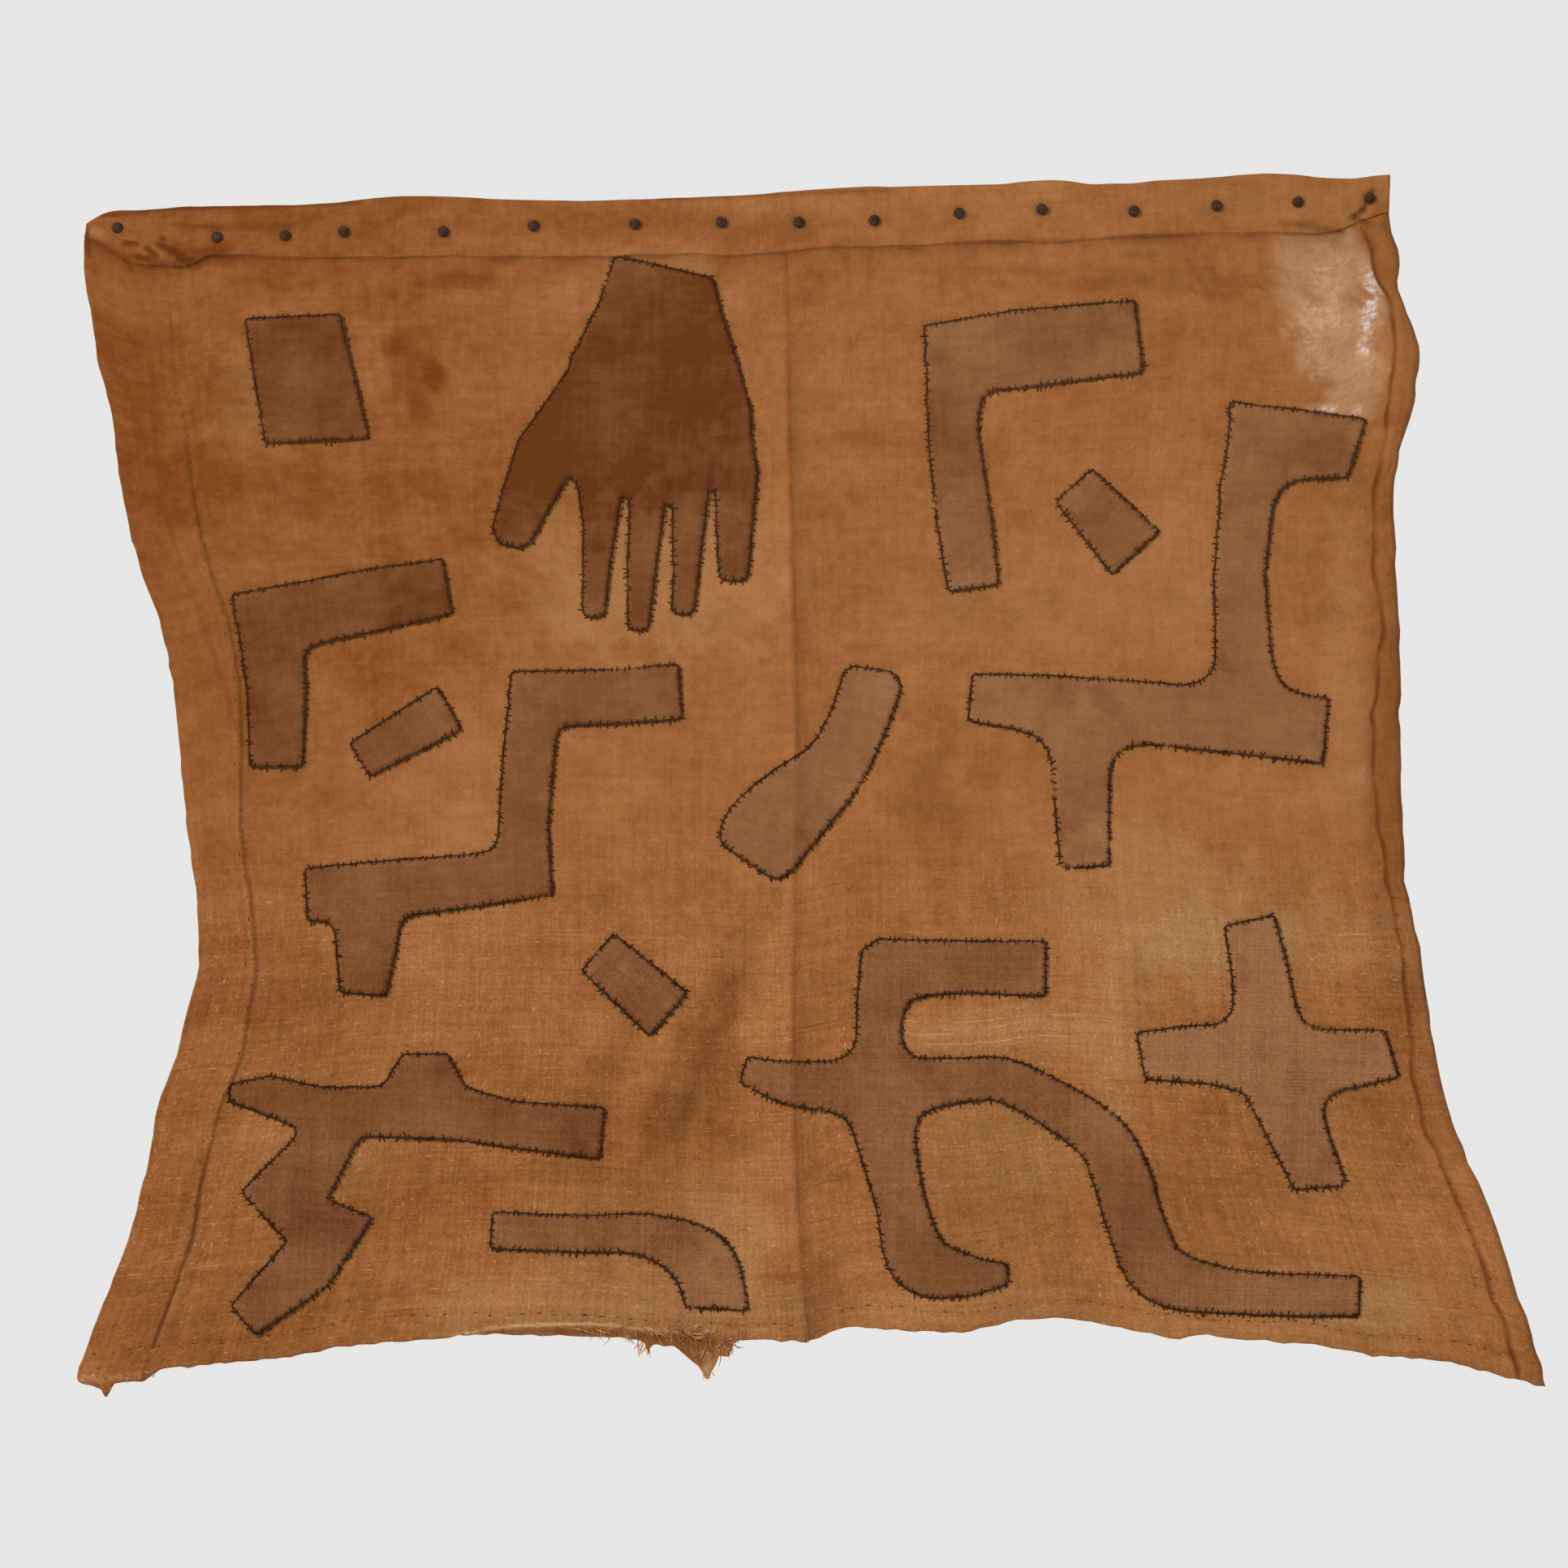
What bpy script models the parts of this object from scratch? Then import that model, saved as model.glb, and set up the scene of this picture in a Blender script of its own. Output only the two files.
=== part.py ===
"""A raffia cloth hung by tacks: one woven panel with hemmed sides, cut patches sewn on, round tacks.

The cloth hangs on a wall. +X is to the right of someone who looks at it, +Z is up and -Y comes
towards them. The origin is on the back of the cloth, in the middle of the turned-over heading.
The tables are in millimetres. A drop is a distance below the origin, and a depth is a distance
in front of the wall.
"""

import math

import bmesh
import bpy
import numpy as np
from mathutils import Matrix

MM = 0.001

# Thicknesses
CLOTH_THICK = 1.6
HEADING_THICK = 3.4
PATCH_THICK = 1.0
# Between the pieces
GAP = 0.3
# Where the cloth is turned over. Columns: place among the guide lines, thickness
HEADING_TURN = ((0, 1.9), (0.33, HEADING_THICK), (1, HEADING_THICK), (2, 0))
SIDE_TURN = ((0, 1.8), (0.25, 2.3), (1, 2.3), (2, 0))
ROLLED_TURN = ((8, 0), (9, 3.4), (9.5, 4.2), (10, 2.4))
BOTTOM_TURN = ((3, 0), (4, 2.2), (5, 1.8))
# The narrow slope from a turned-over edge down to the single cloth
STEP = 1.6

# Tacks: diameters, heights of the dome and its rim, and length of the pin
TACK_HEAD = 6.0
TACK_DOME = 1.9
TACK_RIM = 0.5
TACK_PIN = 1.2
TACK_PIN_LENGTH = 3.25
TACK_SIDES = 10
# The dome's shoulder, as shares of the head's radius and of the dome's height
TACK_SHOULDER = (0.6, 0.8)
HOLE_SIDES = 8
HOLE_DEPTH = 20.0

# How far the free cloth stands off the wall: first below the heading, then towards the hem.
# Columns: drop where it starts, drop over which it grows, distance gained
LEAN_TOP = (28, 110, 5.0)
LEAN_BOTTOM = (230, 400, 10.0)
# The sharp crease down the middle, and how fast it falls away to its sides
CREASE_HEIGHT = 3.0
CREASE_HALF_WIDTH = 8.0
CREASE_FALL = 1.5

# Outline and seams. Columns: drop, x
LEFT_EDGE = (
    (-4, -352), (11, -354), (26, -354), (57, -350), (79, -346), (102, -340), (143, -334),
    (185, -325), (219, -313), (264, -304), (323, -298), (381, -291), (407, -291), (433, -297),
    (459, -304), (482, -312), (514, -318), (544, -325), (570, -334), (598, -345), (629, -356),
)
RIGHT_EDGE = (
    (-23, 355), (-2, 355), (24, 360), (41, 360), (59, 368), (103, 367), (136, 358), (173, 357),
    (228, 360), (281, 360), (332, 362), (364, 363), (392, 369), (439, 376), (470, 382),
    (499, 390), (528, 403), (560, 414), (600, 427), (633, 437),
)
CREASE = ((-20, 25), (125, 28), (300, 32), (405, 30), (500, 31), (575, 35), (610, 38))
# Columns: drop, width
SIDE_HEM = (
    (0, 46), (30, 45), (120, 39), (215, 37), (266, 35), (348, 28), (395, 30), (458, 35),
    (522, 31), (560, 34), (630, 36),
)
ROLLED_HEM = (
    (0, 13), (24, 14), (45, 7), (59, 9), (103, 13), (136, 9), (173, 12), (228, 10), (281, 14),
    (364, 10), (439, 12), (499, 16), (540, 14), (632, 14),
)
# Columns: x, drop
TOP_EDGE = (
    (-355, 5), (-344, -2), (-323, -4), (-290, -6), (-229, -7), (-189, -11), (-95, -9),
    (-47, -10), (19, -13), (41, -15), (142, -18), (173, -20), (195, -18), (234, -20),
    (305, -23), (322, -21), (355, -23),
)
HEADING_EDGE = (
    (-354, 12), (-326, 22), (-291, 26), (-278, 21), (-236, 23), (-153, 22), (-86, 22),
    (-40, 21), (22, 20), (38, 18), (99, 16), (126, 14), (177, 14), (207, 11), (289, 9),
    (326, 8), (338, 3), (355, -2),
)
BOTTOM_SEAM = (
    (-356, 617), (-306, 612), (-243, 606), (-202, 599), (-135, 595), (-80, 596), (-40, 599),
    (30, 600), (72, 591), (124, 594), (165, 588), (211, 592), (249, 597), (314, 601),
    (343, 607), (400, 612), (437, 622),
)
BOTTOM_EDGE = (
    (-356, 629), (-345, 631), (-339, 639), (-334, 631), (-317, 629), (-310, 624), (-243, 618),
    (-216, 613), (-176, 609), (-135, 605), (-80, 606), (-56, 608), (-47, 617), (-35, 613),
    (-27, 618), (-15, 633), (-9, 618), (-3, 618), (2, 608), (38, 610), (59, 601), (93, 603),
    (124, 604), (153, 597), (180, 597), (238, 608), (249, 605), (314, 611), (343, 617),
    (385, 620), (437, 633),
)
# The stretch of the hem whose torn tip needs narrow columns
FRAYED = (-52, 4)

# Cells between one guide line and the next, from left to right and from top to bottom
COLUMN_CELLS = (4, 1, 10, 6, 1, 1, 1, 13, 1, 2)
ROW_CELLS = (3, 1, 26, 1, 1)

# Columns: x and drop where it starts, x and drop where it ends, half-width, height at each end
FOLDS = (
    (-320, 330, -335, 640, 34, 1.0, 6.0),
    (-215, 300, -200, 640, 36, 0.0, -4.0),
    (-120, 380, -105, 620, 30, 0.0, 5.0),
    (-30, 330, -12, 640, 26, 0.0, -5.0),
    (95, 360, 110, 610, 34, 0.0, 6.0),
    (175, 400, 190, 600, 26, 0.0, -5.0),
    (262, 330, 290, 620, 38, 0.0, 5.0),
    (350, 420, 372, 620, 26, 0.0, -4.0),
    (395, 430, 430, 640, 36, 1.0, 10.0),
    (23, 411, -30, 521, 12, -3.0, -3.0),
    (-95, 398, -148, 468, 12, -2.5, -2.5),
    (111, 222, 67, 367, 20, 3.0, 2.0),
    (206, 400, 204, 470, 16, 2.5, 2.0),
    (-325, 40, -255, 150, 12, 2.5, 1.0),
    (335, 40, 285, 130, 12, 2.5, 1.0),
    (-352, 70, -348, 140, 18, 3.0, 2.0),
    (368, 70, 366, 120, 16, 3.0, 2.0),
    (-298, 300, -294, 380, 22, 3.0, 3.0),
    (360, 240, 362, 330, 18, -2.0, -2.0),
)

# Columns: x, drop
TACKS = (
    (-336, 6), (-282, 11), (-245, 10), (-213, 8), (-159, 8), (-110, 5), (-55, 4), (-8, 3),
    (34, 3), (75, 2), (121, -2), (166, -4), (216, -3), (261, -6), (305, -8), (344, -10),
)

# How finely an outline is found, and how far a point may lie off it before it is kept
OUTLINE_PITCH = 2.0
OUTLINE_SLACK = 0.45
# Points of a curved strip for each of its stations
CURVE_STEPS = 4
# The patch outlines cut this deep to the front and the back of the wall plane
CUT_DEPTH = 60.0
# The guide lines of the two directions depend on each other and settle in this many rounds
SETTLING_ROUNDS = 6

CLOTH_COLOUR = (0.36, 0.17, 0.07, 1)
PATCH_COLOUR = (0.19, 0.10, 0.06, 1)
TACK_COLOUR = (0.08, 0.05, 0.04, 1)


def strip(*stations, cuts=(0, 0), curved=False):
    """One strip of a patch. A station is x, drop and width; cuts turn its two ends, in degrees."""
    return {"stations": np.array(stations, float), "cuts": cuts, "curved": curved}


# For each patch: radius of its corners, size of the rounding where strips meet, and its strips
PATCHES = {
    "patch_square": (2, 1, (strip((-241, 54, 52), (-227, 122, 57), cuts=(9, 9)),)),
    "patch_hand": (4, 5, (
        strip((-39, 27, 57), (-41, 51, 68), (-44, 80, 92), (-44, 112, 106), (-39, 142, 101),
              cuts=(8, -4)),
        strip((-3, 116, 22), (0, 140, 24), (-1, 170, 20), (-1, 198, 16)),
        strip((-24, 140, 21), (-26, 173, 17), (-27, 194, 14), (-29, 216, 13)),
        strip((-47, 140, 24), (-49, 168, 18), (-51, 190, 16), (-53, 225, 12)),
        strip((-73, 135, 26), (-74, 170, 18), (-76, 196, 14), (-77, 218, 13)),
        strip((-75, 97, 42), (-104, 131, 34), (-115, 157, 27), (-121, 172, 23), (-123, 179, 16)),
    )),
    "patch_angle_right": (2, 14, (
        strip((219, 65, 40), (153, 72, 43), (104, 78, 38)),
        strip((118, 80, 29), (118, 120, 28), (124, 166, 30), (129, 202, 28)),
    )),
    "patch_oblong_right": (2, 1, (strip((183, 146, 27), (217, 183, 35)),)),
    "patch_branch_right": (2, 22, (
        strip((337, 126, 34), (307, 124, 37), (269, 121, 40), cuts=(14, 0)),
        strip((285, 110, 33), (277, 154, 29), (273, 196, 28), (275, 234, 30), (279, 279, 34)),
        strip((127, 261, 26), (167, 265, 32), (240, 271, 34), (320, 279, 36)),
        strip((188, 272, 34), (187, 300, 31), (189, 353, 27)),
    )),
    "patch_angle_left": (2, 10, (
        strip((-156, 201, 31), (-195, 208, 34), (-270, 223, 36)),
        strip((-253, 217, 36), (-249, 257, 32), (-249, 299, 29)),
    )),
    "patch_oblong_left": (2, 1, (strip((-204, 295, 22), (-155, 267, 27)),)),
    "patch_stepped": (2, 10, (
        strip((-30, 258, 30), (-67, 261, 30), (-122, 262, 30)),
        strip((-109, 262, 28), (-113, 300, 28), (-115, 331, 27), (-116, 362, 32)),
        strip((-101, 355, 27), (-148, 361, 29), (-189, 365, 31), (-233, 368, 29)),
        strip((-199, 370, 38), (-200, 396, 33), (-202, 422, 26)),
    )),
    "patch_boot": (9, 6, (
        strip((76, 246, 33), (66, 275, 32), (53, 299, 35), (31, 320, 44), (19, 332, 47),
              (12, 341, 46), (8, 348, 38), cuts=(-8, 0), curved=True),
    )),
    "patch_oblong_middle": (2, 1, (strip((-75, 399, 27), (-36, 433, 31)),)),
    "patch_branch_left": (2, 8, (
        strip((-274, 475, 10), (-254, 476, 21), (-225, 485, 26), (-150, 486, 29),
              (-121, 492, 25), (-72, 497, 28)),
        strip((-169, 477, 46), (-168, 464, 36), (-168, 454, 26)),
        strip((-210, 487, 24), (-244, 531, 46), (-219, 550, 46), (-232, 568, 33),
              (-266, 598, 22)),
    )),
    "patch_bent": (2, 4, (
        strip((-132, 549, 20), (-87, 551, 20), (-48, 552, 23), (-19, 566, 34), (-9, 592, 33),
              cuts=(0, 20), curved=True),
    )),
    "patch_branch_middle": (2, 17, (
        strip((168, 408, 30), (126, 407, 28), (78, 408, 32)),
        strip((82, 400, 28), (78, 425, 25), (77, 455, 24), (80, 475, 28)),
        strip((4, 463, 15), (32, 470, 24), (80, 472, 30), (124, 468, 24), (150, 470, 24),
              (194, 496, 28), (208, 519, 31), (217, 548, 31), (231, 573, 32), (270, 582, 24),
              (337, 585, 22), curved=True),
        strip((78, 475, 36), (81, 499, 32), (89, 534, 27), (99, 565, 33), (122, 573, 24),
              (147, 573, 12), curved=True),
    )),
    "patch_cross": (2, 16, (
        strip((278, 382, 28), (284, 411, 31), (289, 455, 38), (298, 481, 36), (305, 500, 31),
              (316, 526, 29), cuts=(0, 18)),
        strip((219, 455, 26), (249, 454, 31), (287, 457, 36), (322, 458, 34), (355, 454, 27),
              cuts=(-8, -10)),
    )),
}


def smooth(table, at):
    """The second column of a table at any value of the first, as a smooth curve through its rows."""
    knots, values = np.array(table, float).T
    slopes = np.gradient(values, knots)
    at = np.clip(at, knots[0], knots[-1])
    i = np.clip(np.searchsorted(knots, at, side="right") - 1, 0, len(knots) - 2)
    span = knots[i + 1] - knots[i]
    t = (at - knots[i]) / span
    rise = t * t * (3 - 2 * t)
    start_pull = t * (1 - t) ** 2 * span * slopes[i]
    end_pull = t * t * (t - 1) * span * slopes[i + 1]
    return values[i] * (1 - rise) + values[i + 1] * rise + start_pull + end_pull


def ease(value):
    """0 below 0, 1 above 1, and a soft start and end between."""
    t = np.clip(value, 0, 1)
    return t * t * (3 - 2 * t)


def column_guides(drop):
    """The lines that run down the cloth, from its left edge to its right edge."""
    left = smooth(LEFT_EDGE, drop)
    right = smooth(RIGHT_EDGE, drop)
    side_seam = left + smooth(SIDE_HEM, drop)
    rolled = right - smooth(ROLLED_HEM, drop)
    crease = smooth(CREASE, drop)
    same = np.zeros_like(drop)
    return np.array([
        left, side_seam, side_seam + STEP, same + FRAYED[0], same + FRAYED[1],
        crease - CREASE_HALF_WIDTH, crease, crease + CREASE_HALF_WIDTH, rolled - STEP, rolled,
        right,
    ])


def row_guides(x):
    """The lines that run across the cloth, from its top edge to its hem."""
    heading = smooth(HEADING_EDGE, x)
    seam = smooth(BOTTOM_SEAM, x)
    bottom = np.interp(x, *np.array(BOTTOM_EDGE, float).T)
    return np.array([smooth(TOP_EDGE, x), heading - STEP, heading, seam - STEP, seam, bottom])


def between(guides, place):
    """A value on the way from one guide to the next. Place 2.5 is halfway from guide 2 to 3."""
    low = np.minimum(place.astype(int), len(guides) - 2)
    below = np.take_along_axis(guides, low[None], axis=0)[0]
    above = np.take_along_axis(guides, low[None] + 1, axis=0)[0]
    return below + (above - below) * (place - low)


def places(cells):
    """The place of each grid line, counted in guides."""
    steps = [guide + np.arange(count) / count for guide, count in enumerate(cells)]
    return np.append(np.concatenate(steps), len(cells))


def cloth_grid():
    """x and drop of every grid point, and its places across and down the guides."""
    across, down = np.meshgrid(places(COLUMN_CELLS), places(ROW_CELLS))
    drop = between(row_guides(np.zeros_like(down)), down)
    for _ in range(SETTLING_ROUNDS):
        x = between(column_guides(drop), across)
        drop = between(row_guides(x), down)
    return x, drop, across, down


def folds(x, drop):
    """How far the soft folds push the cloth forward: a bell across each one's line."""
    push = np.zeros_like(x)
    for x_a, drop_a, x_b, drop_b, half_width, height_a, height_b in FOLDS:
        run = np.array([x_b - x_a, drop_b - drop_a])
        length = np.hypot(*run)
        along = ((x - x_a) * run[0] + (drop - drop_a) * run[1]) / length
        across = ((x - x_a) * run[1] - (drop - drop_a) * run[0]) / length
        beyond = np.maximum(np.maximum(-along, along - length), 0)
        height = height_a + (height_b - height_a) * np.clip(along / length, 0, 1)
        push += height * np.exp(-(across**2 + beyond**2) / half_width**2)
    return push


def back_depth(x, drop):
    """How far the back of the cloth stands off the wall: none at the heading."""
    free = ease((drop - LEAN_TOP[0]) / LEAN_TOP[1])
    lean = LEAN_TOP[2] * free + LEAN_BOTTOM[2] * ease((drop - LEAN_BOTTOM[0]) / LEAN_BOTTOM[1])
    from_crease = np.abs(x - smooth(CREASE, drop)) / CREASE_HALF_WIDTH
    crease = CREASE_HEIGHT * np.exp(-CREASE_FALL * from_crease)
    return lean + free * (folds(x, drop) + crease)


def thickness(across, down):
    """Single cloth, and more where it is turned over at the heading and the hems."""
    turns = ((down, HEADING_TURN), (across, SIDE_TURN), (across, ROLLED_TURN), (down, BOTTOM_TURN))
    heading, *hems = [np.interp(place, *np.array(turn).T) for place, turn in turns]
    below_heading = down >= HEADING_TURN[-1][0]
    return np.maximum.reduce([heading, *(hem * below_heading for hem in hems)], initial=CLOTH_THICK)


def strip_outline(piece, inset):
    """The corners of one strip, made smaller all round by the inset."""
    stations = piece["stations"].copy()
    for end, beside in ((0, 1), (-1, -2)):
        inwards = stations[beside, :2] - stations[end, :2]
        stations[end, :2] += inwards * inset / np.hypot(*inwards)
    if piece["curved"]:
        count = len(stations)
        fine = np.linspace(0, count - 1, CURVE_STEPS * (count - 1) + 1)
        columns = [smooth(np.column_stack([np.arange(count), c]), fine) for c in stations.T]
        stations = np.column_stack(columns)
    middle, width = stations[:, :2], stations[:, 2]
    along = np.gradient(middle, axis=0)
    heading = np.arctan2(along[:, 1], along[:, 0])
    heading[0] += math.radians(piece["cuts"][0])
    heading[-1] += math.radians(piece["cuts"][1])
    side = np.column_stack([-np.sin(heading), np.cos(heading)]) * (width / 2 - inset)[:, None]
    return np.concatenate([middle + side, (middle - side)[::-1]])


def distance(corners, x, drop):
    """Distance to a closed outline, negative inside it."""
    nearest = np.full(x.shape, np.inf)
    crossings = np.zeros(x.shape, int)
    for (x_a, drop_a), (x_b, drop_b) in zip(corners, np.roll(corners, -1, axis=0)):
        run_x, run_drop = x_b - x_a, drop_b - drop_a
        share = ((x - x_a) * run_x + (drop - drop_a) * run_drop) / (run_x**2 + run_drop**2)
        share = np.clip(share, 0, 1)
        away = np.hypot(x - x_a - share * run_x, drop - drop_a - share * run_drop)
        nearest = np.minimum(nearest, away)
        if run_drop:
            level = (drop_a <= drop) != (drop_b <= drop)
            crossings += level & (x < x_a + (drop - drop_a) * run_x / run_drop)
    return np.where(crossings % 2 == 1, -nearest, nearest)


def joined(first, second, join):
    """Two distances merged into one, with a soft join wherever the two edges face apart."""
    near = np.maximum(join - np.abs(first - second), 0) / join
    alike = sum(a * b for a, b in zip(np.gradient(first), np.gradient(second)))
    turn = np.clip(1 - alike / OUTLINE_PITCH**2, 0, 1)
    return np.minimum(first, second) - turn * near**2 * join / 4


def patch_distance(name, x, drop):
    """Distance to a patch's edge, negative inside it, with rounded corners and soft joins."""
    corner, join, strips = PATCHES[name]
    merged = distance(strip_outline(strips[0], corner), x, drop) - corner
    for piece in strips[1:]:
        one = distance(strip_outline(piece, corner), x, drop) - corner
        merged = joined(merged, one, join)
    return merged


def level_line(field, x, drop):
    """The closed line where a field on a grid is zero, as points in order around it."""
    inside = field < 0
    points, links = {}, {}
    mixed = inside[:-1, :-1].astype(int) + inside[1:, :-1] + inside[:-1, 1:] + inside[1:, 1:]
    for row, column in np.argwhere((mixed > 0) & (mixed < 4)):
        ring = [(row, column), (row, column + 1), (row + 1, column + 1), (row + 1, column)]
        crossed = []
        for a, b in zip(ring, ring[1:] + ring[:1]):
            if inside[a] != inside[b]:
                edge = min(a, b) + max(a, b)
                share = field[a] / (field[a] - field[b])
                points[edge] = (
                    x[a] + share * (x[b] - x[a]),
                    drop[a] + share * (drop[b] - drop[a]),
                )
                crossed.append(edge)
        for a, b in zip(crossed[::2], crossed[1::2]):
            links.setdefault(a, []).append(b)
            links.setdefault(b, []).append(a)
    first = min(links)
    order, here = [first], links[first][0]
    while here != first:
        ahead = [edge for edge in links[here] if edge != order[-1]][0]
        order.append(here)
        here = ahead
    return np.array([points[edge] for edge in order])


def thinned(line, slack):
    """The line without the points that lie within the slack of a straight run."""
    keep = np.zeros(len(line), bool)
    far = int(np.argmax(np.hypot(*(line - line[0]).T)))
    keep[[0, far]] = True
    closed = np.vstack([line, line[:1]])
    spans = [(0, far), (far, len(line))]
    while spans:
        start, end = spans.pop()
        if end - start < 2:
            continue
        run = closed[end] - closed[start]
        rest = closed[start + 1:end] - closed[start]
        share = np.clip(rest @ run / (run @ run), 0, 1)
        away = np.hypot(*(rest - share[:, None] * run).T)
        worst = int(np.argmax(away))
        if away[worst] > slack:
            keep[start + 1 + worst] = True
            spans += [(start, start + 1 + worst), (start + 1 + worst, end)]
    return line[keep]


def patch_outline(name):
    """The outline of one patch, in order around it."""
    stations = np.concatenate([piece["stations"] for piece in PATCHES[name][2]])
    reach = stations[:, 2].max()
    low = stations[:, :2].min(axis=0) - reach
    high = stations[:, :2].max(axis=0) + reach
    x, drop = np.meshgrid(
        np.arange(low[0], high[0], OUTLINE_PITCH), np.arange(low[1], high[1], OUTLINE_PITCH)
    )
    return thinned(level_line(patch_distance(name, x, drop), x, drop), OUTLINE_SLACK)


def world(x, drop, depth):
    """Table millimetres to metres in the model's own axes."""
    return np.stack([x, -depth, -drop], axis=-1) * MM


def material(name, colour, roughness, metallic=0.0):
    made = bpy.data.materials.new(name)
    made.use_nodes = True
    shader = made.node_tree.nodes["Principled BSDF"]
    shader.inputs["Base Color"].default_value = colour
    shader.inputs["Roughness"].default_value = roughness
    shader.inputs["Metallic"].default_value = metallic
    return made


def add(name, mesh, collection, finish=None):
    """Puts a mesh in the scene. One without a finish is a cutter."""
    made = bpy.data.objects.new(name, mesh)
    collection.objects.link(made)
    if finish:
        mesh.materials.append(finish)
    else:
        made.hide_render = True
        made.display_type = "WIRE"
    return made


def sheet_mesh(name, x, drop, back, front):
    """A closed sheet on the cloth's grid: a grid of triangles, pulled out into a solid."""
    rows, columns = x.shape
    bm = bmesh.new()
    spot = bm.verts.layers.int.new("spot")
    bmesh.ops.create_grid(bm, x_segments=columns - 1, y_segments=rows - 1, size=1)
    for index, vertex in enumerate(bm.verts):
        vertex[spot] = index
    bmesh.ops.triangulate(bm, faces=bm.faces[:], quad_method="FIXED")
    pulled = bmesh.ops.extrude_face_region(bm, geom=bm.faces[:])
    copies = {v for v in pulled["geom"] if isinstance(v, bmesh.types.BMVert)}
    near = world(x, drop, front)[::-1].reshape(-1, 3)
    far = world(x, drop, back)[::-1].reshape(-1, 3)
    for vertex in bm.verts:
        vertex.co = (near if vertex in copies else far)[vertex[spot]]
    bmesh.ops.recalc_face_normals(bm, faces=bm.faces[:])
    mesh = bpy.data.meshes.new(name)
    bm.to_mesh(mesh)
    bm.free()
    return mesh


def hole_mesh(name):
    """A short rod through the heading for each tack, a gap wider than its pin."""
    bm = bmesh.new()
    radius = (TACK_PIN / 2 + GAP) * MM
    for x, drop in TACKS:
        rod = bmesh.ops.create_cone(
            bm, cap_ends=True, segments=HOLE_SIDES, radius1=radius, radius2=radius,
            depth=HOLE_DEPTH * MM,
        )
        place = Matrix.Translation(world(x, drop, 0)) @ Matrix.Rotation(math.pi / 2, 4, "X")
        bmesh.ops.transform(bm, matrix=place, verts=rod["verts"])
    mesh = bpy.data.meshes.new(name)
    bm.to_mesh(mesh)
    bm.free()
    return mesh


def prism_mesh(name, outline, collection):
    """An outline as a block that reaches through the whole depth of the cloth."""
    curve = bpy.data.curves.new(name, "CURVE")
    curve.dimensions = "2D"
    curve.fill_mode = "BOTH"
    curve.extrude = CUT_DEPTH * MM
    line = curve.splines.new("POLY")
    line.points.add(len(outline) - 1)
    line.use_cyclic_u = True
    for point, (x, drop) in zip(line.points, outline):
        point.co = (x * MM, -drop * MM, 0, 1)
    flat = bpy.data.objects.new(name, curve)
    flat.rotation_euler = (math.pi / 2, 0, 0)
    collection.objects.link(flat)
    bpy.context.view_layer.update()
    graph = bpy.context.evaluated_depsgraph_get()
    mesh = bpy.data.meshes.new_from_object(flat.evaluated_get(graph))
    mesh.transform(flat.matrix_world)
    bpy.data.objects.remove(flat)
    bm = bmesh.new()
    bm.from_mesh(mesh)
    bmesh.ops.remove_doubles(bm, verts=bm.verts[:], dist=0.01 * MM)
    bmesh.ops.recalc_face_normals(bm, faces=bm.faces[:])
    bm.to_mesh(mesh)
    bm.free()
    return mesh


def tack_profile():
    """Half of a tack's outline, from the top of its dome down to the point of its pin."""
    head, pin = TACK_HEAD / 2, TACK_PIN / 2
    outline = (
        (0, TACK_DOME), (TACK_SHOULDER[0] * head, TACK_SHOULDER[1] * TACK_DOME),
        (head, TACK_RIM), (head, 0), (pin, 0),
        (pin, pin / 2 - TACK_PIN_LENGTH), (0, -TACK_PIN_LENGTH),
    )
    mesh = bpy.data.meshes.new("tack")
    points = [(radius * MM, 0, height * MM) for radius, height in outline]
    mesh.from_pydata(points, [(i, i + 1) for i in range(len(points) - 1)], [])
    return mesh


def boolean(target, cutter, operation):
    cut = target.modifiers.new(cutter.name, "BOOLEAN")
    cut.object = cutter
    cut.operation = operation
    cut.solver = "EXACT"


def make_cloth(parts, cutters, grid, depths, finish):
    """The panel, with a hole for each tack's pin."""
    x, drop = grid
    back, front = depths
    cloth = add("cloth", sheet_mesh("cloth", x, drop, back, front), parts, finish)
    boolean(cloth, add("tack_holes", hole_mesh("tack_holes"), cutters), "DIFFERENCE")


def make_patches(parts, cutters, grid, depths, finish):
    """Each patch is its outline, cut out of a thin layer that lies along the cloth's front."""
    x, drop = grid
    front = depths[1]
    layer_mesh = sheet_mesh("patch_layer", x, drop, front + GAP, front + GAP + PATCH_THICK)
    layer = add("patch_layer", layer_mesh, cutters)
    for name in PATCHES:
        patch = add(name, prism_mesh(name, patch_outline(name), parts), parts, finish)
        boolean(patch, layer, "INTERSECT")


def make_tacks(parts, finish):
    """Turned tacks, their heads just in front of the heading."""
    profile = tack_profile()
    profile.materials.append(finish)
    for number, (x, drop) in enumerate(TACKS, 1):
        tack = bpy.data.objects.new(f"tack_{number:02d}", profile)
        tack.location = world(x, drop, HEADING_THICK + GAP)
        tack.rotation_euler = (math.pi / 2, 0, 0)
        parts.objects.link(tack)
        turn = tack.modifiers.new("turn", "SCREW")
        turn.axis = "Z"
        turn.steps = TACK_SIDES
        turn.render_steps = TACK_SIDES
        turn.use_merge_vertices = True
        turn.merge_threshold = 0.0001


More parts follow.
